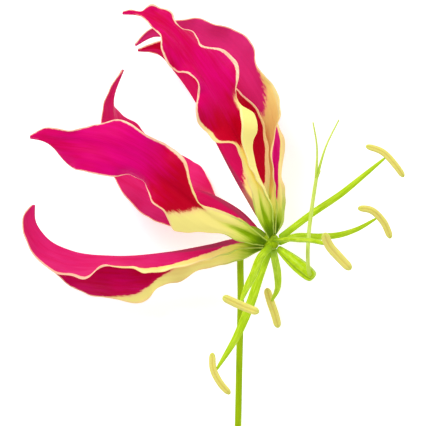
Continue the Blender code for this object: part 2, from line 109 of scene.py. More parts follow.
# %% Smooth lines through chosen points
def smooth_curve(points, params, at):
    """A smooth curve through the points at the given parameters, read at other parameters."""
    points = np.asarray(points, float)
    params = np.asarray(params, float)
    steps = np.diff(params)[:, None]
    slopes = np.diff(points, axis=0) / steps
    tangents = np.vstack([slopes[:1], slopes, slopes[-1:]])
    weights = np.concatenate([[1.0], np.diff(params), [1.0]])[:, None]
    inner = (tangents[:-1] * weights[1:] + tangents[1:] * weights[:-1]) / (weights[1:] + weights[:-1])
    span = np.clip(np.searchsorted(params, at, side="right") - 1, 0, len(params) - 2)
    width = (params[span + 1] - params[span])[:, None]
    t = (np.asarray(at) - params[span])[:, None] / width
    return (
        points[span] * (2 * t**3 - 3 * t**2 + 1)
        + inner[span] * width * (t**3 - 2 * t**2 + t)
        + points[span + 1] * (3 * t**2 - 2 * t**3)
        + inner[span + 1] * width * (t**3 - t**2)
    )


def chord_params(points):
    """Distance travelled along the points, from 0 to 1."""
    lengths = np.linalg.norm(np.diff(np.asarray(points, float), axis=0), axis=1)
    return np.concatenate([[0.0], np.cumsum(lengths)]) / lengths.sum()


def resampled(points, count):
    """A smooth curve through the points, read at evenly spaced parameters."""
    return smooth_curve(points, chord_params(points), np.linspace(0, 1, count))


print("a line's middle:", resampled([(0, 0, 0), (1, 1, 0), (2, 0, 0)], 3)[1])

# %% [markdown]
# Each tepal starts as a narrow claw, widens into a blade with strongly waved edges and runs out to
# a fine tip. Its midrib and its two edges are laid down point by point, as a paper pattern would
# be. One of them has its right half turned over, so it also has the crest of that fold.

# %% The six tepals' midribs and edges
TEPALS = {
    "tepal_upper_near": dict(
        angle=60,
        bow=0.10,
        midrib=[
            (-2.2, 8.2, 4.5), (-3.5, 14.5, 8), (-5.2, 21, 11.5), (-8.2, 27.5, 14.5),
            (-11.7, 34, 16.5), (-15.7, 40, 17.5), (-20.2, 46.5, 16.5), (-25.7, 53, 14.5),
            (-30.7, 56.2, 12), (-37.7, 56.8, 9),
        ],
        left=[
            (-3.6, 6.5, 5), (-5, 12.5, 9), (-6.4, 16.5, 12), (-7.8, 21.2, 15.5), (-9.7, 24.5, 18.5),
            (-13.2, 24.5, 18.5), (-16, 27.2, 17), (-18, 29.2, 19), (-18.7, 33, 21.5),
            (-18.2, 36, 20), (-18.2, 39, 21.5), (-20.2, 41.5, 20.5), (-23.2, 42, 17.5),
            (-26, 44.5, 19.5), (-27, 47.5, 20.5), (-27.5, 51, 17), (-29.2, 52.7, 14),
            (-30.7, 54.4, 13.5), (-32.7, 56.1, 11.5), (-35, 56.7, 10), (-37.7, 56.8, 9),
        ],
        right=[
            (0.4, 7, 2.5), (-1, 11, 5), (-3, 14.5, 9.5), (-5, 18, 13), (-6.6, 22, 15.5),
            (-7.4, 26, 17.5), (-7.5, 30, 17.5), (-7.9, 33, 15), (-8.7, 35, 13), (-9, 37.2, 12),
            (-8.2, 40.2, 14.5), (-8.2, 43.2, 13), (-9.7, 46, 10.5), (-13, 48, 11.5),
            (-17.5, 48.7, 14), (-18.2, 50.5, 12), (-19.7, 52.2, 10), (-22, 52.7, 12),
            (-23.7, 54.7, 12.5), (-24.7, 57, 11), (-27.5, 58.2, 10), (-29.7, 59, 11.5),
            (-32.4, 57.1, 10.7), (-34.8, 57.7, 10.2), (-37.7, 56.8, 9),
        ],
        fold=[
            (0.2, 8, 2), (-1.6, 13, 5.5), (-3.4, 17.5, 8.5), (-4.3, 21, 11), (-4.6, 25, 13.5),
            (-3.6, 28, 14.5), (-4.4, 31.5, 14), (-8.5, 34.5, 14.5),
        ],
    ),
    "tepal_upper_side": dict(
        angle=0,
        bow=0.10,
        midrib=[
            (0.4, 9.2, -4.5), (-0.5, 16.7, -8.5), (-2, 25.5, -11.5), (-5.2, 34.2, -13.5),
            (-10.5, 42, -14.5), (-16.5, 47.5, -14), (-23, 51, -11.5), (-29, 52, -8.5),
            (-34.7, 49, -6),
        ],
        left=[
            (1.5, 9.2, -2), (0.9, 14.5, -3), (0.3, 20, -4), (0.1, 23.7, -5), (1.2, 28, -4.5),
            (2.2, 31.5, -3), (2, 36, -5.5), (0.5, 39.7, -7), (-1.5, 41.5, -5.5), (-3.7, 45.2, -8),
            (-4.5, 49.5, -6), (-9.7, 53.7, -8.5), (-13.7, 54.5, -6), (-17.5, 56.2, -8),
            (-21.7, 56, -7), (-27.7, 54.5, -6.5), (-30.7, 53.2, -6), (-34.7, 49, -6),
        ],
        right=[
            (3.2, 5.2, -3.4), (3.5, 8, -5.2), (3.7, 12, -8.5), (2.7, 18.5, -13), (3.7, 23, -15.5),
            (3.2, 27, -18.5), (1.4, 31, -20.5), (1.2, 35, -24.5), (-1.2, 39, -27.4),
            (-4, 42, -27.6), (-7.5, 46.5, -25.2), (-12.2, 50.5, -22.5), (-18.7, 53.2, -18),
            (-25.2, 53.7, -15), (-30.2, 52, -10), (-34.7, 49, -6),
        ],
    ),
    "tepal_upper_far": dict(
        angle=300,
        bow=0.08,
        midrib=[
            (-4.4, 9, -6.5), (-8, 15, -10.5), (-12.6, 23.7, -15), (-15.4, 29.2, -17.5),
            (-18.6, 35.6, -19), (-23.5, 42.8, -19.5), (-28, 47.7, -17.5), (-34, 48.4, -12.5),
        ],
        left=[
            (-0.7, 9.2, -3.8), (-0.3, 15.5, -3.9), (-0.5, 20.5, -4.2), (-0.7, 23.8, -4.7),
            (-1.2, 26.5, -5), (-1.7, 29.2, -4), (-3.2, 33, -4.5), (-6, 36, -4), (-8.2, 38, -6),
            (-10.7, 41, -9), (-14.2, 44, -12), (-18.2, 46.5, -14), (-22.2, 49, -15),
            (-27.2, 51, -15.5), (-30.5, 50, -14.5), (-34, 48.4, -12.5),
        ],
        right=[
            (-3.6, 7, -9), (-5.2, 12, -14), (-8, 18.5, -18.5), (-9.5, 22.5, -21.5),
            (-12.7, 28, -22), (-14.2, 32, -23.8), (-17.6, 37.2, -23), (-20.7, 41.6, -23.2),
            (-25, 46, -20.7), (-29.2, 47.7, -16.8), (-34, 48.4, -12.5),
        ],
    ),
    "tepal_left_near": dict(
        angle=120,
        bow=0.10,
        midrib=[
            (-8.2, 3.2, 6), (-14, 5.5, 9.5), (-20, 9.5, 13), (-26.5, 14.5, 16), (-33.5, 20.2, 17.5),
            (-41, 23.2, 17), (-52, 25, 14), (-60.5, 26, 10),
        ],
        left=[
            (-8.2, 0.3, 4.5), (-13, 2.3, 7), (-18.8, 2.5, 9), (-24.2, 3, 12), (-25.4, 5.5, 15),
            (-26.5, 7.5, 17), (-29.5, 10, 17.5), (-31, 14.2, 14), (-34, 16.5, 12.5),
            (-39.7, 16.3, 16), (-46, 17.5, 16), (-50.2, 19, 12.5), (-53.7, 23.2, 12),
            (-58.7, 26, 11), (-60.5, 26, 10),
        ],
        right=[
            (-7.7, 5.6, 7.5), (-14, 8.3, 11), (-17.6, 9.4, 13.5), (-20, 15, 16.5),
            (-21.5, 20.5, 18.5), (-25.7, 24, 17), (-30.5, 26.3, 20.5), (-34.5, 29, 20),
            (-37.5, 30.2, 17), (-42.7, 29.2, 16), (-49.5, 27.7, 16.5), (-56.5, 28.2, 12.5),
            (-60.5, 26, 10),
        ],
    ),
    "tepal_left_far": dict(
        angle=240,
        bow=0.05,
        midrib=[
            (-8.4, 7.8, -8.2), (-13, 10.6, -12), (-18, 12.7, -15), (-22.7, 14, -17.5),
            (-27.7, 16, -19.5), (-32.7, 19, -20), (-36.7, 23.7, -19.5), (-39.5, 29.5, -17),
            (-40, 35.5, -13), (-36.9, 44, -8.5),
        ],
        left=[
            (-6.7, 4.2, -11), (-10.8, 8, -16), (-14.4, 12.6, -19.5), (-15.4, 15.2, -20.5),
            (-17.2, 18.5, -22.5), (-20.7, 21, -24.8), (-25.2, 23.2, -26.4), (-30.7, 26, -26.2),
            (-34, 30, -23), (-37.7, 32.2, -20.5), (-39.5, 34.2, -17), (-39.3, 38.5, -12.5),
            (-36.9, 44, -8.5),
        ],
        right=[
            (-8.9, 5.9, -7.2), (-13.2, 5.6, -9.4), (-18.7, 4, -11), (-24.5, 3.7, -13.5),
            (-28.5, 5, -12), (-33.5, 8, -14.5), (-37, 12, -13), (-39.2, 15.5, -15),
            (-40.9, 19.2, -14), (-41.9, 23.5, -16), (-42.7, 27, -14), (-42.8, 30, -14),
            (-42.4, 33.5, -12), (-40.7, 38.2, -10), (-36.9, 44, -8.5),
        ],
    ),
    "tepal_lower_side": dict(
        angle=180,
        bow=0.10,
        midrib=[
            (-8.2, 0, -3), (-15.2, -1.2, -5.5), (-25.7, -3, -8.5), (-39.7, -4, -11),
            (-50.2, -2.7, -11), (-56.5, 0.5, -10), (-59.3, 4.5, -9), (-59.5, 10, -7),
        ],
        left=[
            (-6.2, -4, -3.8), (-11.7, -5.7, -7), (-18.7, -7.5, -10), (-22.7, -10, -11.5),
            (-28.5, -11.7, -15), (-31, -14.5, -14.5), (-34, -15.7, -17), (-39, -14.5, -16),
            (-45.2, -13.7, -18), (-51, -11, -15), (-54.5, -8, -14), (-58.5, -3.5, -11.5),
            (-61.2, 1.5, -10), (-61.2, 6, -8.5), (-59.5, 10, -7),
        ],
        right=[
            (-6.5, -1.6, 0), (-11.5, -3.2, -1), (-17.7, -5, -2), (-24, -6.6, -3),
            (-27.7, -7.5, -4.5), (-31.2, -7.7, -2), (-35.5, -6.5, -5), (-39.7, -6.2, -3.5),
            (-43.2, -6.2, -6.5), (-45.7, -9, -4), (-50.2, -8.5, -6), (-54.5, -7.5, -4.5),
            (-58.4, -4.7, -6.5), (-61.7, 1, -5.5), (-62.2, 6.5, -6), (-59.5, 10, -7),
        ],
    ),
}

print("tepals:", ", ".join(TEPALS))

# %% [markdown]
# Between the midrib and an edge the blade is a gentle arch, and the edge's waves die away towards
# the midrib. So the edges are first smoothed, the blade is spanned between the smooth lines, and
# the waves are added back with a strength that grows towards the edge. A cloth simulation could
# ruffle an edge too, but it would not put each wave where the real flower has it.

# %% The middle surface of a tepal
WAVE_REACH = 2.2
CLAW_ROOT_WIDTH = 1.9
ROOT_OUT, ROOT_BACK = 0.98, 0.20
FOLD_FADE = 0.06
BLADE_FLOOR = FLOOR + 0.3


def beside(points, rib):
    """Where along the midrib each point of an edge lies, half by nearness and half by travel."""
    spots = np.linspace(0, 1, len(rib))
    away = np.linalg.norm(np.asarray(points, float)[:, None] - rib[None], axis=2)
    nearest = spots[away.argmin(axis=1)]
    mixed = 0.5 * nearest + 0.5 * chord_params(points)
    mixed[0], mixed[-1] = 0.0, 1.0
    least_step = 0.004
    for i in range(1, len(mixed)):
        mixed[i] = max(mixed[i], mixed[i - 1] + least_step)
    return mixed / mixed[-1]


def without_waves(edge, reach=0.07):
    """The edge with its waves averaged away, and the same ends."""
    spots = np.linspace(0, 1, len(edge))
    kernel = np.exp(-0.5 * ((spots[:, None] - spots[None]) / reach) ** 2)
    ends = np.minimum(1.0, np.minimum(spots, 1 - spots) / (2 * reach))[:, None]
    calm = kernel @ edge / kernel.sum(axis=1)[:, None]
    return edge + (calm - edge) * ends


class Tepal:
    """The middle surface of one tepal, from root to tip and from the left edge to the right."""

    DENSE = 400

    def __init__(self, angle, bow, midrib, left, right, fold=None):
        out = direction_at(angle)
        root = (RECEPTACLE_RADIUS + GAP) * (ROOT_OUT * out - ROOT_BACK * AXIS)
        half_root = 0.5 * CLAW_ROOT_WIDTH * tangent_at(angle)
        self.rib = resampled([root, *midrib], self.DENSE)
        self.left = self.edge([root + half_root, *left])
        self.right = self.edge([root - half_root, *right])
        self.left_calm = without_waves(self.left)
        self.right_calm = without_waves(self.right)
        along = np.gradient(self.rib, axis=0)
        face = np.cross(along, self.right_calm - self.left_calm)
        face /= np.linalg.norm(face, axis=1)[:, None] + 1e-9
        self.left_middle = self.middle(self.left_calm, face, bow)
        self.right_middle = self.middle(self.right_calm, face, bow)
        if fold:
            self.turn_over([root - 0.5 * half_root, *fold])

    def edge(self, points):
        return smooth_curve(points, beside(points, self.rib), np.linspace(0, 1, self.DENSE))

    def middle(self, edge, face, bow):
        width = np.linalg.norm(edge - self.rib, axis=1)[:, None]
        return 0.5 * (self.rib + edge) - bow * width * face

    def turn_over(self, fold):
        """Leads the right half over the fold's crest, fading out where the fold ends."""
        places = beside(fold + [self.rib[-1]], self.rib)[: len(fold)]
        spots = np.linspace(0, 1, self.DENSE)
        crest = smooth_curve(fold, places, np.minimum(spots, places[-1]))
        share = np.clip((places[-1] - spots) / FOLD_FADE, 0, 1)[:, None]
        self.right_middle += (crest - self.right_middle) * share

    def at(self, u, v):
        """Points of the middle surface. u runs from root to tip, v from -1 at the left edge to 1."""
        u, v = np.broadcast_arrays(np.asarray(u, float), np.asarray(v, float))
        place = u.ravel() * (self.DENSE - 1)
        low = np.clip(place.astype(int), 0, self.DENSE - 2)
        part = (place - low)[:, None]
        rib, left, right, left_calm, right_calm, left_middle, right_middle = (
            curve[low] * (1 - part) + curve[low + 1] * part
            for curve in (
                self.rib, self.left, self.right, self.left_calm, self.right_calm,
                self.left_middle, self.right_middle,
            )
        )
        knots = [left_calm, left_middle, rib, right_middle, right_calm]
        slopes = [
            left_middle - left_calm, 0.5 * (rib - left_calm), 0.5 * (right_middle - left_middle),
            0.5 * (right_calm - rib), right_calm - right_middle,
        ]
        across = (v.ravel() + 1) * 2
        span = np.clip(across.astype(int), 0, 3)
        t = (across - span)[:, None]
        rows = np.arange(len(span))
        knots, slopes = np.array(knots), np.array(slopes)
        spot = (
            knots[span, rows] * (2 * t**3 - 3 * t**2 + 1)
            + slopes[span, rows] * (t**3 - 2 * t**2 + t)
            + knots[span + 1, rows] * (3 * t**2 - 2 * t**3)
            + slopes[span + 1, rows] * (t**3 - t**2)
        )
        sideways = v.ravel()[:, None]
        waves = np.where(sideways < 0, left - left_calm, right - right_calm)
        spot = spot + waves * np.abs(sideways) ** WAVE_REACH
        spot[:, 2] = np.maximum(spot[:, 2], BLADE_FLOOR)
        return spot.reshape(u.shape + (3,))


middle_surfaces = {name: Tepal(**shape) for name, shape in TEPALS.items()}
for name, tepal in middle_surfaces.items():
    length = np.linalg.norm(np.diff(tepal.rib, axis=0), axis=1).sum()
    print(f"{name}: {length:.0f} mm along its midrib")

# %% [markdown]
# A finish is a network of shader nodes, which Python can write as plain sums. This small class
# wraps one socket of the network: adding or multiplying two of them adds the Math node that does
# it, and its `node` method adds a node of any other kind.

# %% Shader sums in Python
class Wire:
    """One output of a shader network, which can be used in sums."""

    def __init__(self, tree, socket=None):
        self.tree = tree
        self.socket = socket

    def node(self, kind, settings=(), inputs=(), output=0):
        """Adds a node: first its settings, then its sockets' values or wires. Returns an output."""
        made = self.tree.nodes.new(kind)
        for name, value in dict(settings).items():
            setattr(made, name, value)
        for name, value in dict(inputs).items():
            if isinstance(value, Wire):
                self.tree.links.new(value.socket, made.inputs[name])
            else:
                made.inputs[name].default_value = value
        return Wire(self.tree, made.outputs[output])

    def sum(self, operation, *values):
        return self.node("ShaderNodeMath", {"operation": operation}, enumerate(values))

    def __add__(self, other):
        return self.sum("ADD", self, other)

    __radd__ = __add__

    def __sub__(self, other):
        return self.sum("SUBTRACT", self, other)

    def __rsub__(self, other):
        return self.sum("SUBTRACT", other, self)

    def __mul__(self, other):
        return self.sum("MULTIPLY", self, other)

    __rmul__ = __mul__

    def eased(self, low, high):
        """0 where the wire is at low or beyond, 1 at high, and a smooth step between."""
        return self.node(
            "ShaderNodeMapRange",
            {"interpolation_type": "SMOOTHSTEP"},
            {"Value": self, "From Min": low, "From Max": high},
        )


def blend(share, first, second):
    """The first colour where the share is 0, and the second where it is 1."""
    factor, colour_a, colour_b, colour_out = 0, 6, 7, 2
    return share.node(
        "ShaderNodeMix",
        {"data_type": "RGBA"},
        {factor: share, colour_a: first, colour_b: second},
        colour_out,
    )


def colour(red, green, blue):
    """A screen colour of 0 to 255 as the linear numbers that a shader wants."""
    linear = [
        v / 12.92 if v <= 0.04045 else ((v + 0.055) / 1.055) ** 2.4
        for v in (red / 255, green / 255, blue / 255)
    ]
    return (*linear, 1.0)


print("mid grey in linear light:", round(colour(128, 128, 128)[0], 3))

# %% [markdown]
# Petals and stalks have a soft, waxy surface. Each finish starts from Blender's Principled shader
# with only a little gloss, because a strong one would put a milky veil over such deep colours. A
# faint glow in the piece's own colour stands for the light that comes through a thin petal. The
# helpers below read a number that is kept on the mesh, and a noise laid along the petal.

# %% Starting a finish
LIGHT_THROUGH = 0.13


def new_finish(name, roughness, gloss):
    """An empty finish: its material, a wire to start from and its Principled shader."""
    material = bpy.data.materials.new(name)
    material.use_nodes = True
    shader = material.node_tree.nodes["Principled BSDF"]
    shader.inputs["Roughness"].default_value = roughness
    shader.inputs["Specular IOR Level"].default_value = gloss
    shader.inputs["Emission Strength"].default_value = LIGHT_THROUGH
    return material, Wire(material.node_tree), shader


def kept(wire, name):
    """A number that the mesh keeps at each of its points."""
    return wire.node("ShaderNodeAttribute", {"attribute_name": name}, output="Fac")


def speckle(wire, place, along, across, detail=2.0):
    """A noise of so many specks per millimetre along and across the piece."""
    scaled = wire.node(
        "ShaderNodeVectorMath", {"operation": "MULTIPLY"}, {0: place, 1: (along, across, 1.0)}
    )
    return wire.node(
        "ShaderNodeTexNoise", inputs={"Vector": scaled, "Scale": 1.0, "Detail": detail}
    )


def finished(shader, wire, paint, height, relief):
    """Gives the shader its colour and glow, and a relief of so many metres from the height."""
    tree = shader.id_data
    tree.links.new(paint.socket, shader.inputs["Base Color"])
    tree.links.new(paint.socket, shader.inputs["Emission Color"])
    bump = wire.node("ShaderNodeBump", inputs={"Distance": relief, "Height": height})
    tree.links.new(bump.socket, shader.inputs["Normal"])


print("finish helpers ready")

# %% [markdown]
# The inner face of a tepal is crimson and magenta, with fine veins along it and a cream rim. Near
# the claw the red breaks up into specks and gives way to yellow, and the claw's root is green. The
# mesh keeps how far each point is from the edge, from the root and from the line where the red
# ends, all in millimetres, so the rim has its true width however the petal is stretched.

# %% The tepals' inner face
DEEP_CRIMSON = colour(190, 0, 36)
MAGENTA = colour(220, 2, 118)
PEACH = colour(252, 190, 160)
CREAM = colour(255, 222, 186)
BUTTER = colour(250, 234, 136)
AMBER = colour(252, 208, 142)
CLAW_LIME = colour(214, 222, 84)
CLAW_GREEN = colour(138, 172, 6)
CLAW_DARK = colour(88, 120, 2)
CLAW_EDGE = colour(186, 204, 86)
RIM_GOLD = colour(252, 222, 148)
RIM_SOFTNESS = (-0.12, 0.22)
GREEN_RIM = (16.0, 7.0)
PETAL_RELIEF = 0.00006


def tepal_place(wire):
    """Where a point lies on its tepal, in millimetres along and across."""
    return wire.node("ShaderNodeUVMap", {"uv_map": "tepal"})


def claw_colours(wire, place, gold):
    """From amber at the red's end to butter yellow, then green at the root."""
    root = kept(wire, "from_root")
    streaks = speckle(wire, place, 0.25, 2.2)
    yellow = blend((gold + streaks * 3.0).eased(0.5, 4.0), AMBER, BUTTER)
    keel = kept(wire, "from_rib").eased(1.3, 0.0) * 5.0
    lime = blend((root + streaks * 5.0 - keel).eased(15.0, 7.0), yellow, CLAW_LIME)
    green = blend((root + streaks * 5.0 - keel).eased(10.5, 4.0), lime, CLAW_GREEN)
    return blend((root + streaks * 2.0).eased(5.5, 2.2), green, CLAW_DARK)


def inner_tepal_finish():
    """Crimson to magenta with a cream rim, and yellow to green in the claw."""
    material, wire, shader = new_finish("petal_inner_face", roughness=0.55, gloss=0.04)
    place = tepal_place(wire)
    gold, edge, cream = kept(wire, "gold"), kept(wire, "from_edge"), kept(wire, "cream")
    patches = speckle(wire, place, 0.10, 0.30)
    streaks = speckle(wire, place, 0.14, 1.7)
    veins = speckle(wire, place, 0.06, 4.5, detail=1.0)
    specks = speckle(wire, place, 0.9, 1.6, detail=3.0)
    rosy = (kept(wire, "rosy") + patches * 0.7 + streaks * 0.5 - 0.6).eased(0.05, 1.0)
    red = blend(rosy, DEEP_CRIMSON, MAGENTA)
    red = blend(veins.eased(0.42, 0.75) * 0.22, red, DEEP_CRIMSON)
    ended = (gold + (specks - 0.5) * 2.4 + (streaks - 0.5) * 2.2).eased(-0.9, 0.9)
    paint = blend(ended, red, claw_colours(wire, place, gold))
    rim = (cream - edge + (specks - 0.5) * 0.5).eased(*RIM_SOFTNESS)
    rim_colour = blend(streaks.eased(0.3, 0.7), PEACH, CREAM)
    rim_colour = blend(kept(wire, "rim_gold").eased(-4.0, 5.0), rim_colour, RIM_GOLD)
    rim_colour = blend(kept(wire, "from_root").eased(*GREEN_RIM), rim_colour, CLAW_EDGE)
    paint = blend(rim, paint, rim_colour)
    finished(shader, wire, paint, veins * 0.7 + streaks * 0.5, PETAL_RELIEF)
    return material


inner_face = inner_tepal_finish()
print("made", inner_face.name)

# %% [markdown]
# The outer face is a paler pink than the inner one. It has a mauve line along the midrib that is
# widest near the claw, and its red breaks up over a wider band before the yellow.

# %% The tepals' outer face
PINK = colour(216, 42, 120)
STRONG_PINK = colour(206, 6, 86)
MAUVE = colour(160, 52, 84)
PALE_YELLOW = colour(246, 240, 160)


def outer_tepal_finish():
    """Pink with a mauve midrib line, and the same claw."""
    material, wire, shader = new_finish("petal_outer_face", roughness=0.5, gloss=0.07)
    place = tepal_place(wire)
    gold, edge, cream = kept(wire, "gold"), kept(wire, "from_edge"), kept(wire, "cream")
    rib, root = kept(wire, "from_rib"), kept(wire, "from_root")
    patches = speckle(wire, place, 0.09, 0.35)
    streaks = speckle(wire, place, 0.16, 1.5)
    veins = speckle(wire, place, 0.06, 4.0, detail=1.0)
    specks = speckle(wire, place, 0.8, 1.3, detail=3.0)
    rosy = (kept(wire, "rosy") + patches * 0.8 + streaks * 0.4 - 0.6).eased(0.0, 0.9)
    red = blend(rosy, STRONG_PINK, PINK)
    red = blend(veins.eased(0.45, 0.75) * 0.2, red, STRONG_PINK)
    ended = (gold + (specks - 0.5) * 6.0 + (streaks - 0.5) * 4.0).eased(-1.4, 1.4)
    paint = blend(ended, red, claw_colours(wire, place, gold))
    line_width = kept(wire, "line")
    line = (line_width - rib + (streaks - 0.5) * 0.4).eased(-0.25, 0.35)
    paint = blend(line * root.eased(4.0, 10.0) * 0.85, paint, MAUVE)
    rim = (cream - edge + (specks - 0.5) * 0.4).eased(*RIM_SOFTNESS)
    rim_colour = blend(kept(wire, "rim_gold").eased(-4.0, 3.0), PEACH, PALE_YELLOW)
    rim_colour = blend(root.eased(*GREEN_RIM), rim_colour, CLAW_EDGE)
    paint = blend(rim, paint, rim_colour)
    finished(shader, wire, paint, veins * 0.6 + streaks * 0.5, PETAL_RELIEF)
    return material


outer_face = outer_tepal_finish()
print("made", outer_face.name)

# %% [markdown]
# Where the red ends, and how wide the cream rim is, differ from petal to petal and from face to
# face. Each list gives a few places: the red's end as the distance from the root in
# millimetres at seven places from the left edge to the right, and the rim's width, the rosy share
# and the mauve line's width at a few distances along the petal. Up to `yellow_rim` the rim is
# yellow, even where it runs beside the red. The far upper tepal's outer side wears the inner finish
# from its left edge to a place that its plan gives, as painted shade where the near upper tepal
# shades it.

# %% Where each tepal's colours change
PLACES_ACROSS = [-1, -0.7, -0.35, 0, 0.35, 0.7, 1]
COLOUR_PLAN = {
    "tepal_upper_near": dict(
        inner_red=[30, 28, 26, 26, 35, 37, 36],
        outer_red=[30, 26, 22, 20, 26, 37, 40],
        left_rim=[(0, 0.2), (24, 0.5), (33, 1.1), (40, 0.5), (80, 0.3)],
        right_rim=[(0, 0.2), (34, 0.6), (40, 1.1), (46, 1.5), (54, 0.7), (80, 0.3)],
        yellow_rim=38,
        rosy=[(20, 0.0), (32, 0.1), (45, 0.7), (55, 0.45), (75, 0.5)],
        line=[(0, 0.3), (30, 0.0)],
    ),
    "tepal_upper_side": dict(
        inner_red=[14, 12, 10, 9, 10, 25, 36],
        outer_red=[41, 37, 32.5, 29, 27, 28, 32],
        left_rim=[(0, 0.4), (24, 0.9), (32, 1.4), (38, 0.3), (70, 0.2)],
        right_rim=[(0, 0.5), (16, 1.6), (30, 1.6), (36, 0.5), (70, 0.2)],
        yellow_rim=36,
        rosy=[(20, 0.9), (60, 0.9)],
        line=[(0, 0.6), (25, 0.0)],
    ),
    "tepal_upper_far": dict(
        inner_red=[15, 13, 12, 11, 10, 10, 10],
        outer_red=[30, 26, 22, 15, 13, 12, 12],
        # Painted shade: the deeper red on this part of the outer side stands for the near upper
        # tepal's shade.
        shaded_look_left_of=-0.3,
        left_rim=[(0, 2.4), (13, 2.4), (20, 1.3), (27, 0.55), (36, 0.45), (60, 0.3)],
        right_rim=[(0, 0.5), (60, 0.3)],
        yellow_rim=31,
        rosy=[(20, 0.0), (60, 0.2)],
        line=[(0, 0.9), (18, 0.9), (30, 0.3), (40, 0.0)],
    ),
    "tepal_left_near": dict(
        inner_red=[28.5, 27, 24, 21.8, 20, 20.5, 24],
        outer_red=[29, 27, 22, 20, 20, 22, 25],
        left_rim=[(0, 0.4), (30, 0.35), (60, 0.25)],
        right_rim=[(0, 0.2), (22, 0.8), (33, 0.9), (39, 0.5), (60, 0.25)],
        yellow_rim=30,
        rosy=[(18, 0.0), (27, 0.0), (34, 0.35), (42, 0.9), (54, 0.7), (72, 0.5)],
        line=[(0, 0.3), (30, 0.0)],
    ),
    "tepal_left_far": dict(
        inner_red=[14, 12, 12, 12, 12, 14, 18],
        outer_red=[16, 8, 7, 4, 10, 16, 20],
        left_rim=[(0, 0.3), (26, 0.3), (32, 0.0)],
        right_rim=[(0, 0.3), (30, 0.2), (60, 0.15)],
        rosy=[(14, 0.1), (24, 0.0), (30, 0.6), (60, 0.5)],
        line=[(0, 0.8), (16, 0.8), (28, 0.0)],
    ),
    "tepal_lower_side": dict(
        inner_red=[41, 32, 23, 20, 17, 16, 15],
        outer_red=[34, 30, 22, 2, 13, 29, 35],
        left_rim=[(0, 0.4), (32, 0.7), (44, 0.4), (60, 0.2)],
        right_rim=[(0, 0.4), (24, 0.9), (33, 1.3), (45, 0.8), (60, 0.25)],
        yellow_rim=38,
        rosy=[(20, 0.35), (60, 0.5)],
        line=[(0, 1.2), (20, 1.0), (34, 0.0)],
    ),
}


def along_list(pairs, distance):
    """Reads a list of (distance, value) pairs at other distances."""
    places, values = zip(*pairs)
    return np.interp(distance, places, values)


print("colour plans:", len(COLOUR_PLAN))

# %% [markdown]
# A blade is a sheet a quarter of a millimetre thick, and twice that along the midrib. A grid of
# points is read from the middle surface, pushed to both sides along its normals and closed round
# the rim. Small ripples are added towards the edges and shallow grooves along the blade, because
# the real blade is never smooth. The midrib is pushed outwards, so it is a gutter on the inner side
# and a keel on the outer one. The numbers that the finishes read are stored on the same points.

# %% Building the tepals
ROWS, COLUMNS = 240, 56
BLUNT_TIP = 0.988
THIN, RIB_THICK, RIB_WIDTH = 0.26, 0.30, 0.7
EDGE_CROWDING = 1.25
RIPPLE_HEIGHT, RIPPLE_RATE = 0.16, 1.15
GROOVE_HEIGHT, GROOVE_RATE = 0.035, 3.6
KEEL_HEIGHT, CLAW_KEEL_HEIGHT, KEEL_WIDTH = 0.2, 0.5, 0.6
CLAW_LENGTH, TIP_LENGTH, FULL_HALF_WIDTH = 12, 8.0, 3.0
CLAW_RIM_REACH, WIDEST_RIM, WIDEST_CLAW_RIM = 20, 0.22, 0.5
RIM_BULGE = 0.6
PATTERN_SHIFT, WAVE_SHIFT = 100.0, 1.7
NOWHERE = -2


def unit(vectors):
    return vectors / (np.linalg.norm(vectors, axis=-1, keepdims=True) + 1e-12)


def closed_sheet(name, places, normals, half_thickness, numbers, materials, outer_looks, uv):
    """A closed mesh from a grid of points: its inner side, its outer side and a rounded rim."""
    rows, columns = places.shape[:2]
    inner = places - normals * half_thickness[..., None]
    outer = places + normals * half_thickness[..., None]
    index = np.arange(rows * columns).reshape(rows, columns)
    border = np.concatenate([index[0, :-1], index[:-1, -1], index[-1, :0:-1], index[:0:-1, 0]])
    flat = places.reshape(-1, 3)
    ahead, behind = flat[np.roll(border, -1)], flat[np.roll(border, 1)]
    outward = unit(np.cross(unit(ahead - behind), normals.reshape(-1, 3)[border]))
    inwards = ((flat.mean(axis=0) - flat[border]) * outward).sum()
    outward = outward * (-1 if inwards > 0 else 1)
    rim = flat[border] + outward * RIM_BULGE * half_thickness.reshape(-1)[border][:, None]
    points = np.concatenate([inner.reshape(-1, 3), outer.reshape(-1, 3), rim])
    shift = rows * columns
    a, b = index[:-1, :-1].ravel(), index[1:, :-1].ravel()
    c, d = index[1:, 1:].ravel(), index[:-1, 1:].ravel()
    ring = np.arange(len(border)) + 2 * shift
    next_ring, next_border = np.roll(ring, -1), np.roll(border, -1)
    faces = np.concatenate(
        [
            np.stack([a, b, c, d], axis=1),
            np.stack([a, d, c, b], axis=1) + shift,
            np.stack([border, next_border, next_ring, ring], axis=1),
            np.stack([ring, next_ring, next_border + shift, border + shift], axis=1),
        ]
    )
    mesh = bpy.data.meshes.new(name)
    mesh.from_pydata(to_world(points).tolist(), [], faces.tolist())
    mesh.update()
    for material in materials:
        mesh.materials.append(material)
    sheet_faces = (rows - 1) * (columns - 1)
    looks = np.zeros(len(faces), int)
    looks[sheet_faces : 2 * sheet_faces] = np.tile(outer_looks, rows - 1)
    mesh.polygons.foreach_set("material_index", looks)
    for key, (inner_values, outer_values) in numbers.items():
        layer = mesh.attributes.new(key, "FLOAT", "POINT")
        inner_values, outer_values = inner_values.ravel(), outer_values.ravel()
        rim_values = inner_values[border]
        layer.data.foreach_set("value", np.concatenate([inner_values, outer_values, rim_values]))
    spots = np.concatenate([uv.reshape(-1, 2), uv.reshape(-1, 2), uv.reshape(-1, 2)[border]])
    layer = mesh.uv_layers.new(name="tepal")
    corner_points = np.empty(len(mesh.loops), int)
    mesh.loops.foreach_get("vertex_index", corner_points)
    layer.uv.foreach_set("vector", spots[corner_points].astype(np.float32).ravel())
    return mesh


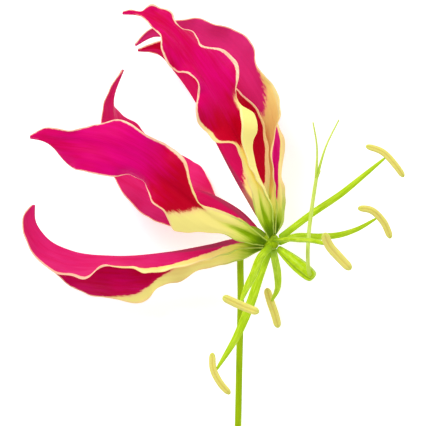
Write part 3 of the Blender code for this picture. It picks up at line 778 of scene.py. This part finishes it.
def show(name, mesh, slot, *nodes):
    """Puts a finished mesh into the scene in place of the plain nodes that it stands for."""
    repair = bmesh.new()
    repair.from_mesh(mesh)
    bmesh.ops.recalc_face_normals(repair, faces=repair.faces[:])
    repair.to_mesh(mesh)
    repair.free()
    mesh.shade_smooth()
    piece = bpy.data.objects.new(name, mesh)
    bpy.context.scene.collection.objects.link(piece)
    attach(piece, "root")
    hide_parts(*nodes)
    return piece


def dress_tepal(name, tepal, plan, number):
    """One finished blade: its grid of points, its relief and the numbers that its finishes read."""
    u = np.linspace(0, BLUNT_TIP, ROWS)[:, None]
    v = np.linspace(-1, 1, COLUMNS)[None]
    v = np.sign(v) * (1 - (1 - np.abs(v)) ** EDGE_CROWDING)
    places = tepal.at(u, v)
    along = np.gradient(places, axis=0)
    across = np.gradient(places, axis=1)
    normals = unit(np.cross(along, across))
    steps = np.linalg.norm(np.diff(places[:, COLUMNS // 2], axis=0), axis=1)
    distance = np.concatenate([[0.0], np.cumsum(steps)])[:, None] + 0 * v
    spans = np.linalg.norm(np.diff(places, axis=1), axis=2)
    travel = np.concatenate([np.zeros((ROWS, 1)), np.cumsum(spans, axis=1)], axis=1)
    middle = 0.5 * (travel[:, COLUMNS // 2 - 1] + travel[:, COLUMNS // 2])[:, None]
    sideways = travel - middle
    from_edge = np.where(v < 0, travel, travel[:, -1:] - travel)
    half_width = np.where(v < 0, middle, travel[:, -1:] - middle)
    from_tip = distance[-1:] - distance
    blade = np.clip(half_width / FULL_HALF_WIDTH, 0, 1) * np.clip(from_tip / TIP_LENGTH, 0, 1)
    shift = WAVE_SHIFT * number
    uneven = 0.8 * np.sin(distance * 0.37 + shift)
    ripple = np.sin(distance * RIPPLE_RATE + shift + uneven) * np.sign(v + 0.01)
    ripple = ripple * RIPPLE_HEIGHT * np.abs(v) ** 3
    grooves = GROOVE_HEIGHT * np.sin(sideways * GROOVE_RATE + shift) * (1 - np.abs(v) ** 4)
    keel = KEEL_HEIGHT + CLAW_KEEL_HEIGHT * np.exp(-((distance / CLAW_LENGTH) ** 2))
    keel = keel * np.exp(-((sideways / KEEL_WIDTH) ** 2))
    places = places + normals * ((ripple + grooves + keel) * blade)[..., None]
    places[..., 2] = np.maximum(places[..., 2], BLADE_FLOOR - 0.1)
    half_thickness = 0.5 * (THIN + RIB_THICK * np.exp(-((sideways / RIB_WIDTH) ** 2)))
    left_rim, right_rim = (along_list(plan[key], distance) for key in ("left_rim", "right_rim"))
    widest = np.where(distance > CLAW_RIM_REACH, WIDEST_RIM, WIDEST_CLAW_RIM) * half_width
    numbers = {
        "from_root": distance,
        "from_edge": from_edge,
        "from_rib": np.abs(sideways),
        "cream": np.minimum(np.where(v < 0, left_rim, right_rim), widest),
        "rosy": along_list(plan["rosy"], distance),
        "line": along_list(plan["line"], distance),
    }
    numbers = {key: (values, values) for key, values in numbers.items()}
    inner_gold, outer_gold = (
        smooth_curve(np.array(plan[key])[:, None], PLACES_ACROSS, v[0])[:, 0] - distance
        for key in ("inner_red", "outer_red")
    )
    # Painted shade: where the plan says, the outer side takes the inner reds, as the near upper tepal
    # shades it.
    shaded_look = v < plan.get("shaded_look_left_of", NOWHERE)
    outer_gold = np.where(shaded_look, inner_gold, outer_gold)
    numbers["gold"] = (inner_gold, outer_gold)
    yellow_rim = plan.get("yellow_rim", 0) - distance
    numbers["rim_gold"] = (np.maximum(inner_gold, yellow_rim), np.maximum(outer_gold, yellow_rim))
    uv = np.stack([distance + PATTERN_SHIFT * number, sideways], axis=-1)
    outer_looks = ~shaded_look[0, :-1]
    finishes = [inner_face, outer_face]
    mesh = closed_sheet(
        name + "_blade", places, normals, half_thickness, numbers, finishes, outer_looks, uv
    )
    return show(name + "_blade", mesh, "tepal_crimson", name)


for number, (name, tepal) in enumerate(middle_surfaces.items()):
    piece = dress_tepal(name, tepal, COLOUR_PLAN[name], number)
    print(piece.name, len(piece.data.polygons), "faces")

# %% [markdown]
# Apart from the knob, the rest of the flower is drawn out along lines: stamens, seed case, style
# and stem. One function sets a ring of points round each step of a line and skins the rings.
# Blender's curves with a bevel could make round stalks, but not these flattened, grooved and lobed
# sections.

# %% Drawing a section out along a line
SEAM_TURN = 0.6


def drawn_out(name, centres, outline, steps, sides):
    """A closed mesh. The outline gives a section's (sideways, upwards) offsets at 0 to 1 along."""
    centres = np.asarray(centres, float)
    along = unit(np.gradient(centres, axis=0))
    steepest = 0.93
    away = np.array([0.0, 1, 0]) if abs(along[:, 2]).max() > steepest else np.array([0.0, 0, 1])
    up = unit(away - along * (along @ away)[:, None])
    sideways = np.cross(along, up)
    turns = 2 * math.pi * np.arange(sides) / sides
    rings, shares, rounds, lobes = [], [], [], []
    for t, centre, side, high in zip(np.linspace(0, 1, steps), centres, sideways, up):
        x, y = outline(t, turns)
        rings.append(centre + side * x[:, None] + high * y[:, None])
        shares.append(np.full(sides, t))
        rounds.append(np.cos(turns))
        lobes.append(np.cos(3 * turns + SEAM_TURN))
    points = np.concatenate([*rings, centres[:1], centres[-1:]])
    index = np.arange(steps * sides).reshape(steps, sides)
    a, d = index[:-1], index[1:]
    b, c = np.roll(a, -1, axis=1), np.roll(d, -1, axis=1)
    faces = np.stack([a, b, c, d], axis=-1).reshape(-1, 4).tolist()
    first, last = steps * sides, steps * sides + 1
    for i in range(sides):
        j = (i + 1) % sides
        faces.append((int(index[0, j]), int(index[0, i]), first))
        faces.append((int(index[-1, i]), int(index[-1, j]), last))
    mesh = bpy.data.meshes.new(name)
    mesh.from_pydata(to_world(points).tolist(), [], faces)
    mesh.update()
    ends = [[0.0], [1.0]]
    kept_numbers = {"along": shares + ends, "round": rounds + ends, "lobe": lobes + ends}
    for key, values in kept_numbers.items():
        layer = mesh.attributes.new(key, "FLOAT", "POINT")
        layer.data.foreach_set("value", np.concatenate(values))
    return mesh


def round_end(t, share, power=2.0):
    """1 along the middle of a piece, falling to 0 at both ends like a dome."""
    near = min(t, 1 - t) / share
    return 1.0 if near >= 1 else (1 - (1 - near) ** power) ** (1 / power)


print("drawing function ready")

# %% [markdown]
# The stalks are smooth and a little waxy: yellow-green filaments, a brighter seed case and a paler
# style. All of them have long faint fibres, so one function makes all four finishes, each with its
# own colours. It reads how far along its piece a point lies, and how far round, from the mesh.

# %% The green finishes
FILAMENT_LIME = colour(166, 202, 8)
FILAMENT_LIGHT = colour(208, 230, 66)
FILAMENT_DARK = colour(130, 168, 20)
OVARY_LIME = colour(174, 208, 0)
OVARY_PALE = colour(204, 228, 40)
OVARY_DARK = colour(124, 160, 0)
STYLE_LIME = colour(192, 216, 84)
STYLE_PALE = colour(228, 238, 144)
STYLE_DARK = colour(176, 204, 60)
STEM_GREEN = colour(150, 180, 0)
STEM_LIGHT = colour(170, 198, 24)
STEM_OLIVE = colour(96, 124, 22)
STALK_RELIEF = 0.00004


def green_finish(name, base, light, dark, roughness=0.45, gloss=0.08, seams=False):
    """A fibrous green, lighter in streaks, darker in patches, with painted shade at the root and in
    any seams.
    """
    material, wire, shader = new_finish(name, roughness, gloss)
    along, side = kept(wire, "along"), kept(wire, "round")
    place = wire.node("ShaderNodeCombineXYZ", inputs={0: along * 30.0, 1: side * 4.0})
    fibres = speckle(wire, place, 0.25, 1.4)
    patches = speckle(wire, place, 0.5, 0.2)
    paint = blend(fibres.eased(0.40, 0.72) * 0.8, base, light)
    paint = blend(patches.eased(0.45, 0.8) * 0.35, paint, dark)
    # Painted shade: darker towards the root, where each piece springs from the knob or the seed case.
    paint = blend(along.eased(0.16, 0.0) * 0.8, paint, dark)
    # Painted shade: the seams between the lobes are darkened as shade lying in their grooves.
    if seams:
        paint = blend(kept(wire, "lobe").eased(-0.75, -1.0) * 0.7, paint, dark)
    finished(shader, wire, paint, fibres, STALK_RELIEF)
    return material


filament_green = green_finish("filament_skin", FILAMENT_LIME, FILAMENT_LIGHT, FILAMENT_DARK)
# The seed case's finish paints shade into its seams.
ovary_green = green_finish(
    "seed_case_skin", OVARY_LIME, OVARY_PALE, OVARY_DARK, roughness=0.35, gloss=0.2, seams=True
)
style_green = green_finish("style_skin", STYLE_LIME, STYLE_PALE, STYLE_DARK)
stem_green = green_finish("stem_skin", STEM_GREEN, STEM_LIGHT, STEM_OLIVE)
print("green finishes made")

# %% [markdown]
# A filament is a flattened spindle, and most are broadest before the middle. It is drawn out to a
# fine point that holds the anther, and this point lies at about the depth of the anther's skin.

# %% The six filaments
FILAMENT_THICKNESS = 1.0
FILAMENT_OUT, FILAMENT_FORWARD = 0.88, 0.47
FILAMENT_ROOT_WIDTH, FILAMENT_TIP_WIDTH = 1.7, 0.5
RIDGE_HEIGHT = 0.05
ANTHER_THICKNESS = 1.6
TIP_UNDER_SKIN = 0.1

STAMENS = {
    "upper_side": dict(
        angle=0,
        widths=(1.65, 1.7),
        filament=[(10.4, 7.2, 0), (17.6, 12.1, 0.5), (22.9, 16.4, 1), (27.6, 20.4, 1.5)],
        anther=[(23.5, 24, 4), (27.7, 22.5, 3.2), (31, 19.2, 2.4), (33.2, 16.2, 1.2)],
    ),
    "far_right": dict(
        angle=300,
        widths=(1.6, 1.85),
        filament=[
            (6, 1.3, -4.3), (12.6, 1.3, -8.5), (17.7, 1.8, -11), (22.2, 3.3, -13), (25.8, 5.2, -14),
        ],
        anther=[(22, 8.5, -12), (25.3, 8, -12.4), (28.4, 5.2, -13.4), (30.5, 0.8, -15.5)],
    ),
    "near_right": dict(
        angle=60,
        widths=(2.3, 2.3),
        filament=[(4, 0.7, 6), (6.8, 0.6, 14), (9.5, 0.5, 21), (12.4, 0.2, 27)],
        anther=[(12.6, 2.4, 31.5), (13.9, -0.7, 29.2), (16.4, -3.6, 27.8), (19.3, -6.6, 26.8)],
    ),
    "far_left": dict(
        angle=240,
        widths=(1.9, 2.1),
        filament=[(1.1, -4.7, -6), (1.8, -8.5, -12), (1.8, -12, -16.5), (1, -15, -19)],
        anther=[(-0.9, -11.8, -21.4), (0, -15, -21), (1.2, -18.5, -21.2), (2.1, -22, -22)],
    ),
    "near_left": dict(
        angle=120,
        widths=(2.0, 2.1),
        filament=[(-2.4, -3.4, 6), (-4.4, -7.8, 14), (-6.3, -11.3, 21), (-7.7, -14, 26)],
        anther=[(-12.1, -13.2, 29), (-9, -14.7, 28), (-6, -16, 27.6), (-3.2, -17, 28)],
    ),
    "lower_side": dict(
        angle=180,
        widths=(2.2, 1.8),
        filament=[(-2.7, -8, 0), (-5, -15, 0.5), (-8.3, -23, 1), (-12.6, -31.4, 1.5)],
        anther=[(-14.7, -27.5, 4), (-14.4, -31.8, 3.4), (-12.6, -35.3, 2.6), (-10.2, -38, 1.4)],
    ),
}


def filament_outline(greatest):
    """A flattened spindle with four faint ridges, fullest a little over a third of the way along."""

    def outline(t, turns):
        ends = FILAMENT_ROOT_WIDTH * (1 - t) + FILAMENT_TIP_WIDTH * t
        swell = math.sin(math.pi * t**0.7) ** 0.8
        width = ends + (greatest - ends) * swell
        thick = min(width, FILAMENT_THICKNESS + 0.2 * swell)
        cap = round_end(t, 0.02)
        ridge = 1 + RIDGE_HEIGHT * np.cos(4 * turns)
        return 0.5 * width * cap * np.cos(turns) * ridge, 0.5 * thick * cap * np.sin(turns) * ridge

    return outline


def dress_filament(name, stamen):
    """One filament, from the knob to the nearest place on its anther."""
    out = direction_at(stamen["angle"])
    root = (RECEPTACLE_RADIUS + 0.5 * GAP) * (FILAMENT_OUT * out + FILAMENT_FORWARD * AXIS)
    anther = resampled(stamen["anther"], 60)
    *course, before_tip = np.array(stamen["filament"], float)
    seat = anther[np.linalg.norm(anther - before_tip, axis=1).argmin()]
    approach = unit(seat - before_tip)
    tip = seat - approach * (0.5 * ANTHER_THICKNESS - TIP_UNDER_SKIN)
    steps, sides = 90, 28
    centres = resampled([root, *course, tip], steps)
    outline = filament_outline(stamen["widths"][0])
    mesh = drawn_out(name + "_stalk", centres, outline, steps, sides)
    mesh.materials.append(filament_green)
    return show(name + "_stalk", mesh, "filament_green", name)


for name, stamen in STAMENS.items():
    piece = dress_filament("filament_" + name, stamen)
    print(piece.name, len(piece.data.polygons), "faces")

# %% [markdown]
# An anther is a curved bean of two pollen sacs side by side, with a furrow between them on both
# sides. Its skin is matt and grainy with pollen: pale yellow, a little greener at the ends and
# warmer along the furrow.

# %% The anthers
POLLEN_YELLOW, POLLEN_LEMON = colour(226, 214, 118), colour(232, 222, 104)
POLLEN_PALE = colour(246, 236, 152)
ANTHER_TIP = colour(198, 212, 88)
FURROW_GOLD = colour(206, 170, 74)
GRAINS_PER_METRE = 5200.0
POLLEN_RELIEF = 0.00008
FURROW_WIDTH, FURROW_DEPTH = 0.22, 0.30


def anther_finish():
    """Dry pale yellow with grains of pollen, greener at the tips and darker in the furrow."""
    material, wire, shader = new_finish("anther_skin", roughness=0.85, gloss=0.1)
    along, side = kept(wire, "along"), kept(wire, "round")
    place = wire.node("ShaderNodeCombineXYZ", inputs={0: along * 12.0, 1: side * 2.0})
    spot = wire.node("ShaderNodeNewGeometry", output="Position")
    grains = wire.node(
        "ShaderNodeTexNoise", inputs={"Vector": spot, "Scale": GRAINS_PER_METRE, "Detail": 2.0}
    )
    patches = speckle(wire, place, 0.4, 1.0)
    paint = blend(patches.eased(0.3, 0.75), POLLEN_YELLOW, POLLEN_LEMON)
    tips = along.eased(0.14, 0.0) + along.eased(0.86, 1.0)
    paint = blend(tips * 0.6, paint, ANTHER_TIP)
    furrow = (side * side).eased(0.06, 0.0)
    paint = blend(furrow * 0.4, paint, FURROW_GOLD)
    paint = blend(grains.eased(0.5, 0.8) * 0.35, paint, POLLEN_PALE)
    finished(shader, wire, paint, grains, POLLEN_RELIEF)
    return material


anther_yellow = anther_finish()


def anther_outline(broad):
    """Two pollen sacs side by side, with a furrow between them."""

    def outline(t, turns):
        taper = round_end(t, 0.13) * (0.9 + 0.1 * math.sin(math.pi * t))
        x, y = np.cos(turns), np.sin(turns)
        furrow = np.exp(-((x / FURROW_WIDTH) ** 2))
        plump = 1 - FURROW_DEPTH * furrow
        return 0.5 * broad * taper * x, 0.5 * ANTHER_THICKNESS * taper * y * plump

    return outline


for name, stamen in STAMENS.items():
    steps, sides = 80, 40
    outline = anther_outline(stamen["widths"][1])
    mesh = drawn_out("anther_" + name, resampled(stamen["anther"], steps), outline, steps, sides)
    mesh.materials.append(anther_yellow)
    piece = show("anther_" + name + "_sacs", mesh, "anther_yellow", "anther_" + name)
    print(piece.name, len(piece.data.polygons), "faces")

# %% [markdown]
# The seed case behind the style has three rounded lobes with seams between them. Its section is a
# circle that is drawn in at three places.

# %% The seed case
OVARY_LENGTH, OVARY_RADIUS = 12.0, 1.9
OVARY_PROFILE = [
    (0, 0.42), (0.15, 0.62), (0.35, 0.84), (0.6, 1.0), (0.8, 0.97), (0.93, 0.84), (1, 0.6),
]
SEAM_DEPTH = 0.17


def ovary_outline(t, turns):
    """A circle as wide as the profile says, drawn in at three seams."""
    places, sizes = zip(*OVARY_PROFILE)
    size = smooth_curve(np.array(sizes)[:, None], places, [t])[0, 0]
    radius = OVARY_RADIUS * size * round_end(t, 0.03)
    seam = 0.5 - 0.5 * np.cos(3 * turns + SEAM_TURN)
    lobed = radius * (1 - SEAM_DEPTH * seam**3)
    return lobed * np.cos(turns), lobed * np.sin(turns)


steps, sides = 90, 72
start = RECEPTACLE_RADIUS + 0.5 * GAP
reach = OVARY_LENGTH + 0.5 * GAP
core = [AXIS * (start + reach * t) for t in np.linspace(0, 1, steps)]
mesh = drawn_out("seed_case", core, ovary_outline, steps, sides)
mesh.materials.append(ovary_green)
piece = show("seed_case", mesh, "filament_green", "ovary")
print(piece.name, len(piece.data.polygons), "faces")

# %% [markdown]
# The style leaves the tip of the seed case, turns up at a sharp knee and forks into three stigmas,
# one of which is only a stub here. Its four tubes are joined into one body with a Boolean union.

# %% The style
STYLE_WIDTH, STYLE_TIP_WIDTH = 1.0, 0.5
STYLE_COURSE = [
    (9.7, -8.5, 5.7), (9.3, -7, 6.1), (9.1, -4, 6.1), (9.3, 1.5, 5.8), (10, 7.7, 5.7), (11.3, 16.5, 6),
]
STIGMA_LEFT = [(11.3, 24.2, 7), (10.3, 30, 8.5)]
STIGMA_RIGHT = [(13.7, 24, 5.2), (17, 30.7, 4)]
STIGMA_STUB = [(12.2, 17.9, 6.7)]


def tapered(name, points, widths, steps, sides):
    """A round tube through the points, whose width follows a list from end to end."""

    def outline(t, turns):
        width = np.interp(t, np.linspace(0, 1, len(widths)), widths) * round_end(t, 0.02)
        return 0.5 * width * np.cos(turns), 0.5 * width * np.sin(turns)

    return drawn_out(name, resampled(points, steps), outline, steps, sides)


def joined(name, meshes):
    """One closed mesh from several that overlap."""
    pieces = []
    for mesh in meshes:
        piece = bpy.data.objects.new(mesh.name, mesh)
        bpy.context.scene.collection.objects.link(piece)
        pieces.append(piece)
    for other in pieces[1:]:
        union = pieces[0].modifiers.new("join", "BOOLEAN")
        union.operation = "UNION"
        union.object = other
        union.solver = "EXACT"
    bpy.context.view_layer.update()
    whole = pieces[0].evaluated_get(bpy.context.evaluated_depsgraph_get())
    result = bpy.data.meshes.new_from_object(whole)
    result.name = name
    for piece in pieces:
        bpy.data.objects.remove(piece)
    result.materials.clear()
    return result


fork = STYLE_COURSE[-1]
before_fork = tuple(0.12 * np.array(STYLE_COURSE[-2]) + 0.88 * np.array(fork))
wide, fine = STYLE_WIDTH, STYLE_TIP_WIDTH
mesh = joined(
    "style_tubes",
    [
        tapered("shaft", STYLE_COURSE, [wide, wide, 0.9 * wide], 70, 20),
        tapered("branch_left", [before_fork, *STIGMA_LEFT], [0.8 * wide, fine, 0.8 * fine], 40, 16),
        tapered("branch_right", [before_fork, *STIGMA_RIGHT], [0.8 * wide, fine, 0.8 * fine], 40, 16),
        tapered("branch_stub", [before_fork, *STIGMA_STUB], [0.7 * wide, 0.7 * fine], 14, 16),
    ],
)
mesh.materials.append(style_green)
piece = show("style_and_stigmas", mesh, "style_green", "style")
print(piece.name, len(piece.data.polygons), "faces")

# %% [markdown]
# The stem leaves the back of the knob, hooks over and runs to its cut end, where it lies on the
# table. It is ribbed a little. The knob is a ball, and both are joined into one body, because they
# grew as one.

# %% The stem and its knob
STEM_RADIUS = 0.85
STEM_HOOK = [(-3.9, 2.9, -1.7), (-6.1, 3.1, -3.4), (-7.4, 1.6, -5.6), (-7.6, -3, -8)]
STEM_RUN = [(-7.5, -14, -11.5), (-7.8, -28, -16.5), (-8.1, -44, -22)]
STEM_REST_FROM = -57.0
STEM_CUT_END = -66.0
STEM_REST_X = -8.4
RIB_HEIGHT = 0.02
KNOB_SWELLING = 0.05


def stem_outline(t, turns):
    """A circle with seven faint ribs, closed round inside the knob and cut flat at the far end."""
    ribs = 1 + RIB_HEIGHT * np.cos(7 * turns + 2 * t)
    cut = 1.0 if t > 0.5 else round_end(t, 0.01)
    return STEM_RADIUS * cut * ribs * np.cos(turns), STEM_RADIUS * cut * ribs * np.sin(turns)


def knob():
    """The receptacle: a ball with six faint swellings where the tepals were set."""
    ball = bmesh.new()
    bmesh.ops.create_icosphere(ball, subdivisions=5, radius=1.0)
    for vertex in ball.verts:
        spot = np.array(vertex.co)
        lift = spot @ AXIS
        around = math.atan2(spot @ FACE, spot @ SIDE)
        swelling = KNOB_SWELLING * math.cos(6 * around) * (1 - lift * lift)
        vertex.co = Vector(to_world(spot * RECEPTACLE_RADIUS * (1 + swelling)))
    mesh = bpy.data.meshes.new("knob")
    ball.to_mesh(mesh)
    ball.free()
    # Along 0 gives the knob the stem finish's darker root green: painted shade among the roots.
    for key, value in (("along", 0.0), ("round", 0.3), ("lobe", 0.5)):
        layer = mesh.attributes.new(key, "FLOAT", "POINT")
        layer.data.foreach_set("value", np.full(len(mesh.vertices), value))
    return mesh


resting = FLOOR + STEM_RADIUS
rest_from = (STEM_REST_X, STEM_REST_FROM, resting)
cut_end = (STEM_REST_X, STEM_CUT_END, resting)
steps, sides = 160, 32
inside_knob = -0.6 * RECEPTACLE_RADIUS * AXIS
stalk_line = resampled([inside_knob, *STEM_HOOK, *STEM_RUN, rest_from, cut_end], steps)
stalk = drawn_out("stalk", stalk_line, stem_outline, steps, sides)
mesh = joined("stem_and_knob", [stalk, knob()])
mesh.materials.append(stem_green)
piece = show("stem_and_knob", mesh, "stem_green", "stem")
print(piece.name, len(piece.data.polygons), "faces")

# %% [markdown]
# The flower lies on a plain white table that glows a little, like the light table of a studio, so
# its shadow stays faint. A wide soft light stands at the upper left, with a weaker one at the
# right, under a white sky.

# %% The table and the light
WHITE = (1.0, 1.0, 1.0, 1.0)
TABLE_HALF_WIDTH, TABLE_DROP = 4.0, 0.0004
TABLE_GLOW, SKY_GLOW = 0.55, 0.44
TABLE_RELIEF = 0.00002


def plain_table():
    """A wide flat sheet just under the flower."""
    size = TABLE_HALF_WIDTH
    mesh = bpy.data.meshes.new("table")
    corners = [(-size, -size, 0), (size, -size, 0), (size, size, 0), (-size, size, 0)]
    mesh.from_pydata(corners, [], [(0, 1, 2, 3)])
    material, wire, shader = new_finish("table_white", roughness=0.9, gloss=0.1)
    grain = wire.node("ShaderNodeTexNoise", inputs={"Scale": 300.0, "Detail": 3.0})
    paint = blend(grain, colour(246, 246, 246), colour(250, 250, 250))
    finished(shader, wire, paint, grain, TABLE_RELIEF)
    shader.inputs["Emission Strength"].default_value = TABLE_GLOW
    mesh.materials.append(material)
    table = bpy.data.objects.new("table", mesh)
    table.location.z = -TABLE_DROP
    bpy.context.scene.collection.objects.link(table)
    return table


def soft_light(name, place, size, power):
    """A round lamp of so many metres and watts that faces the middle of the table."""
    data = bpy.data.lights.new(name, "AREA")
    data.shape = "DISK"
    data.size = size
    data.energy = power
    light = bpy.data.objects.new(name, data)
    light.location = place
    light.rotation_euler = (-Vector(place)).to_track_quat("-Z", "Y").to_euler()
    light.visible_camera = False
    bpy.context.scene.collection.objects.link(light)


plain_table()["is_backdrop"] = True
soft_light("key_light", place=(-0.55, 0.75, 1.1), size=0.7, power=12.0)
soft_light("fill_light", place=(0.9, -0.3, 0.9), size=1.0, power=3.5)
world = bpy.data.worlds.new("white_sky")
world.use_nodes = True
sky = world.node_tree.nodes["Background"]
sky.inputs["Color"].default_value = WHITE
sky.inputs["Strength"].default_value = SKY_GLOW
bpy.context.scene.world = world
bpy.context.scene.view_settings.view_transform = "Standard"

# %% [markdown]
# The camera hangs straight above the flower and looks down through a long lens, 1.2 m from the
# knob. The picture is 440 pixels wide, and a pixel is a quarter of a millimetre at the knob.

# %% The camera
EYE_ABOVE_KNOB = 1.2
PIXELS_WIDE, PIXEL_SIZE = 440, 0.00025
SENSOR_WIDTH = 36.0
knob_pixel, middle_pixel = (271, 242), (220, 213)
lens_data = bpy.data.cameras.new("above")
lens_data.sensor_fit = "HORIZONTAL"
lens_data.sensor_width = SENSOR_WIDTH
lens_data.lens = SENSOR_WIDTH * EYE_ABOVE_KNOB / (PIXELS_WIDE * PIXEL_SIZE)
lens_data.clip_end = 20.0
camera = bpy.data.objects.new("above", lens_data)
knob_x, knob_y, knob_z = to_world((0, 0, 0))
camera.location = (
    knob_x + (middle_pixel[0] - knob_pixel[0]) * PIXEL_SIZE,
    knob_y - (middle_pixel[1] - knob_pixel[1]) * PIXEL_SIZE,
    knob_z + EYE_ABOVE_KNOB,
)
bpy.context.scene.collection.objects.link(camera)
bpy.context.scene.camera = camera
print("camera at", [round(value, 4) for value in camera.location], "lens", round(lens_data.lens, 1))

# %% [markdown]
# The dressed flower must be as big as its solids. Both boxes' sizes are printed in millimetres.

# %% The size, and the end
own_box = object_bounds()
boxes = {
    key: [[float(value) for value in corner] for corner in box]
    for key, box in (("cad", cad_box), ("visual", own_box))
}
for key, (low, high) in boxes.items():
    print(key, [round((b - a) * 1000, 1) for a, b in zip(low, high)], "mm")
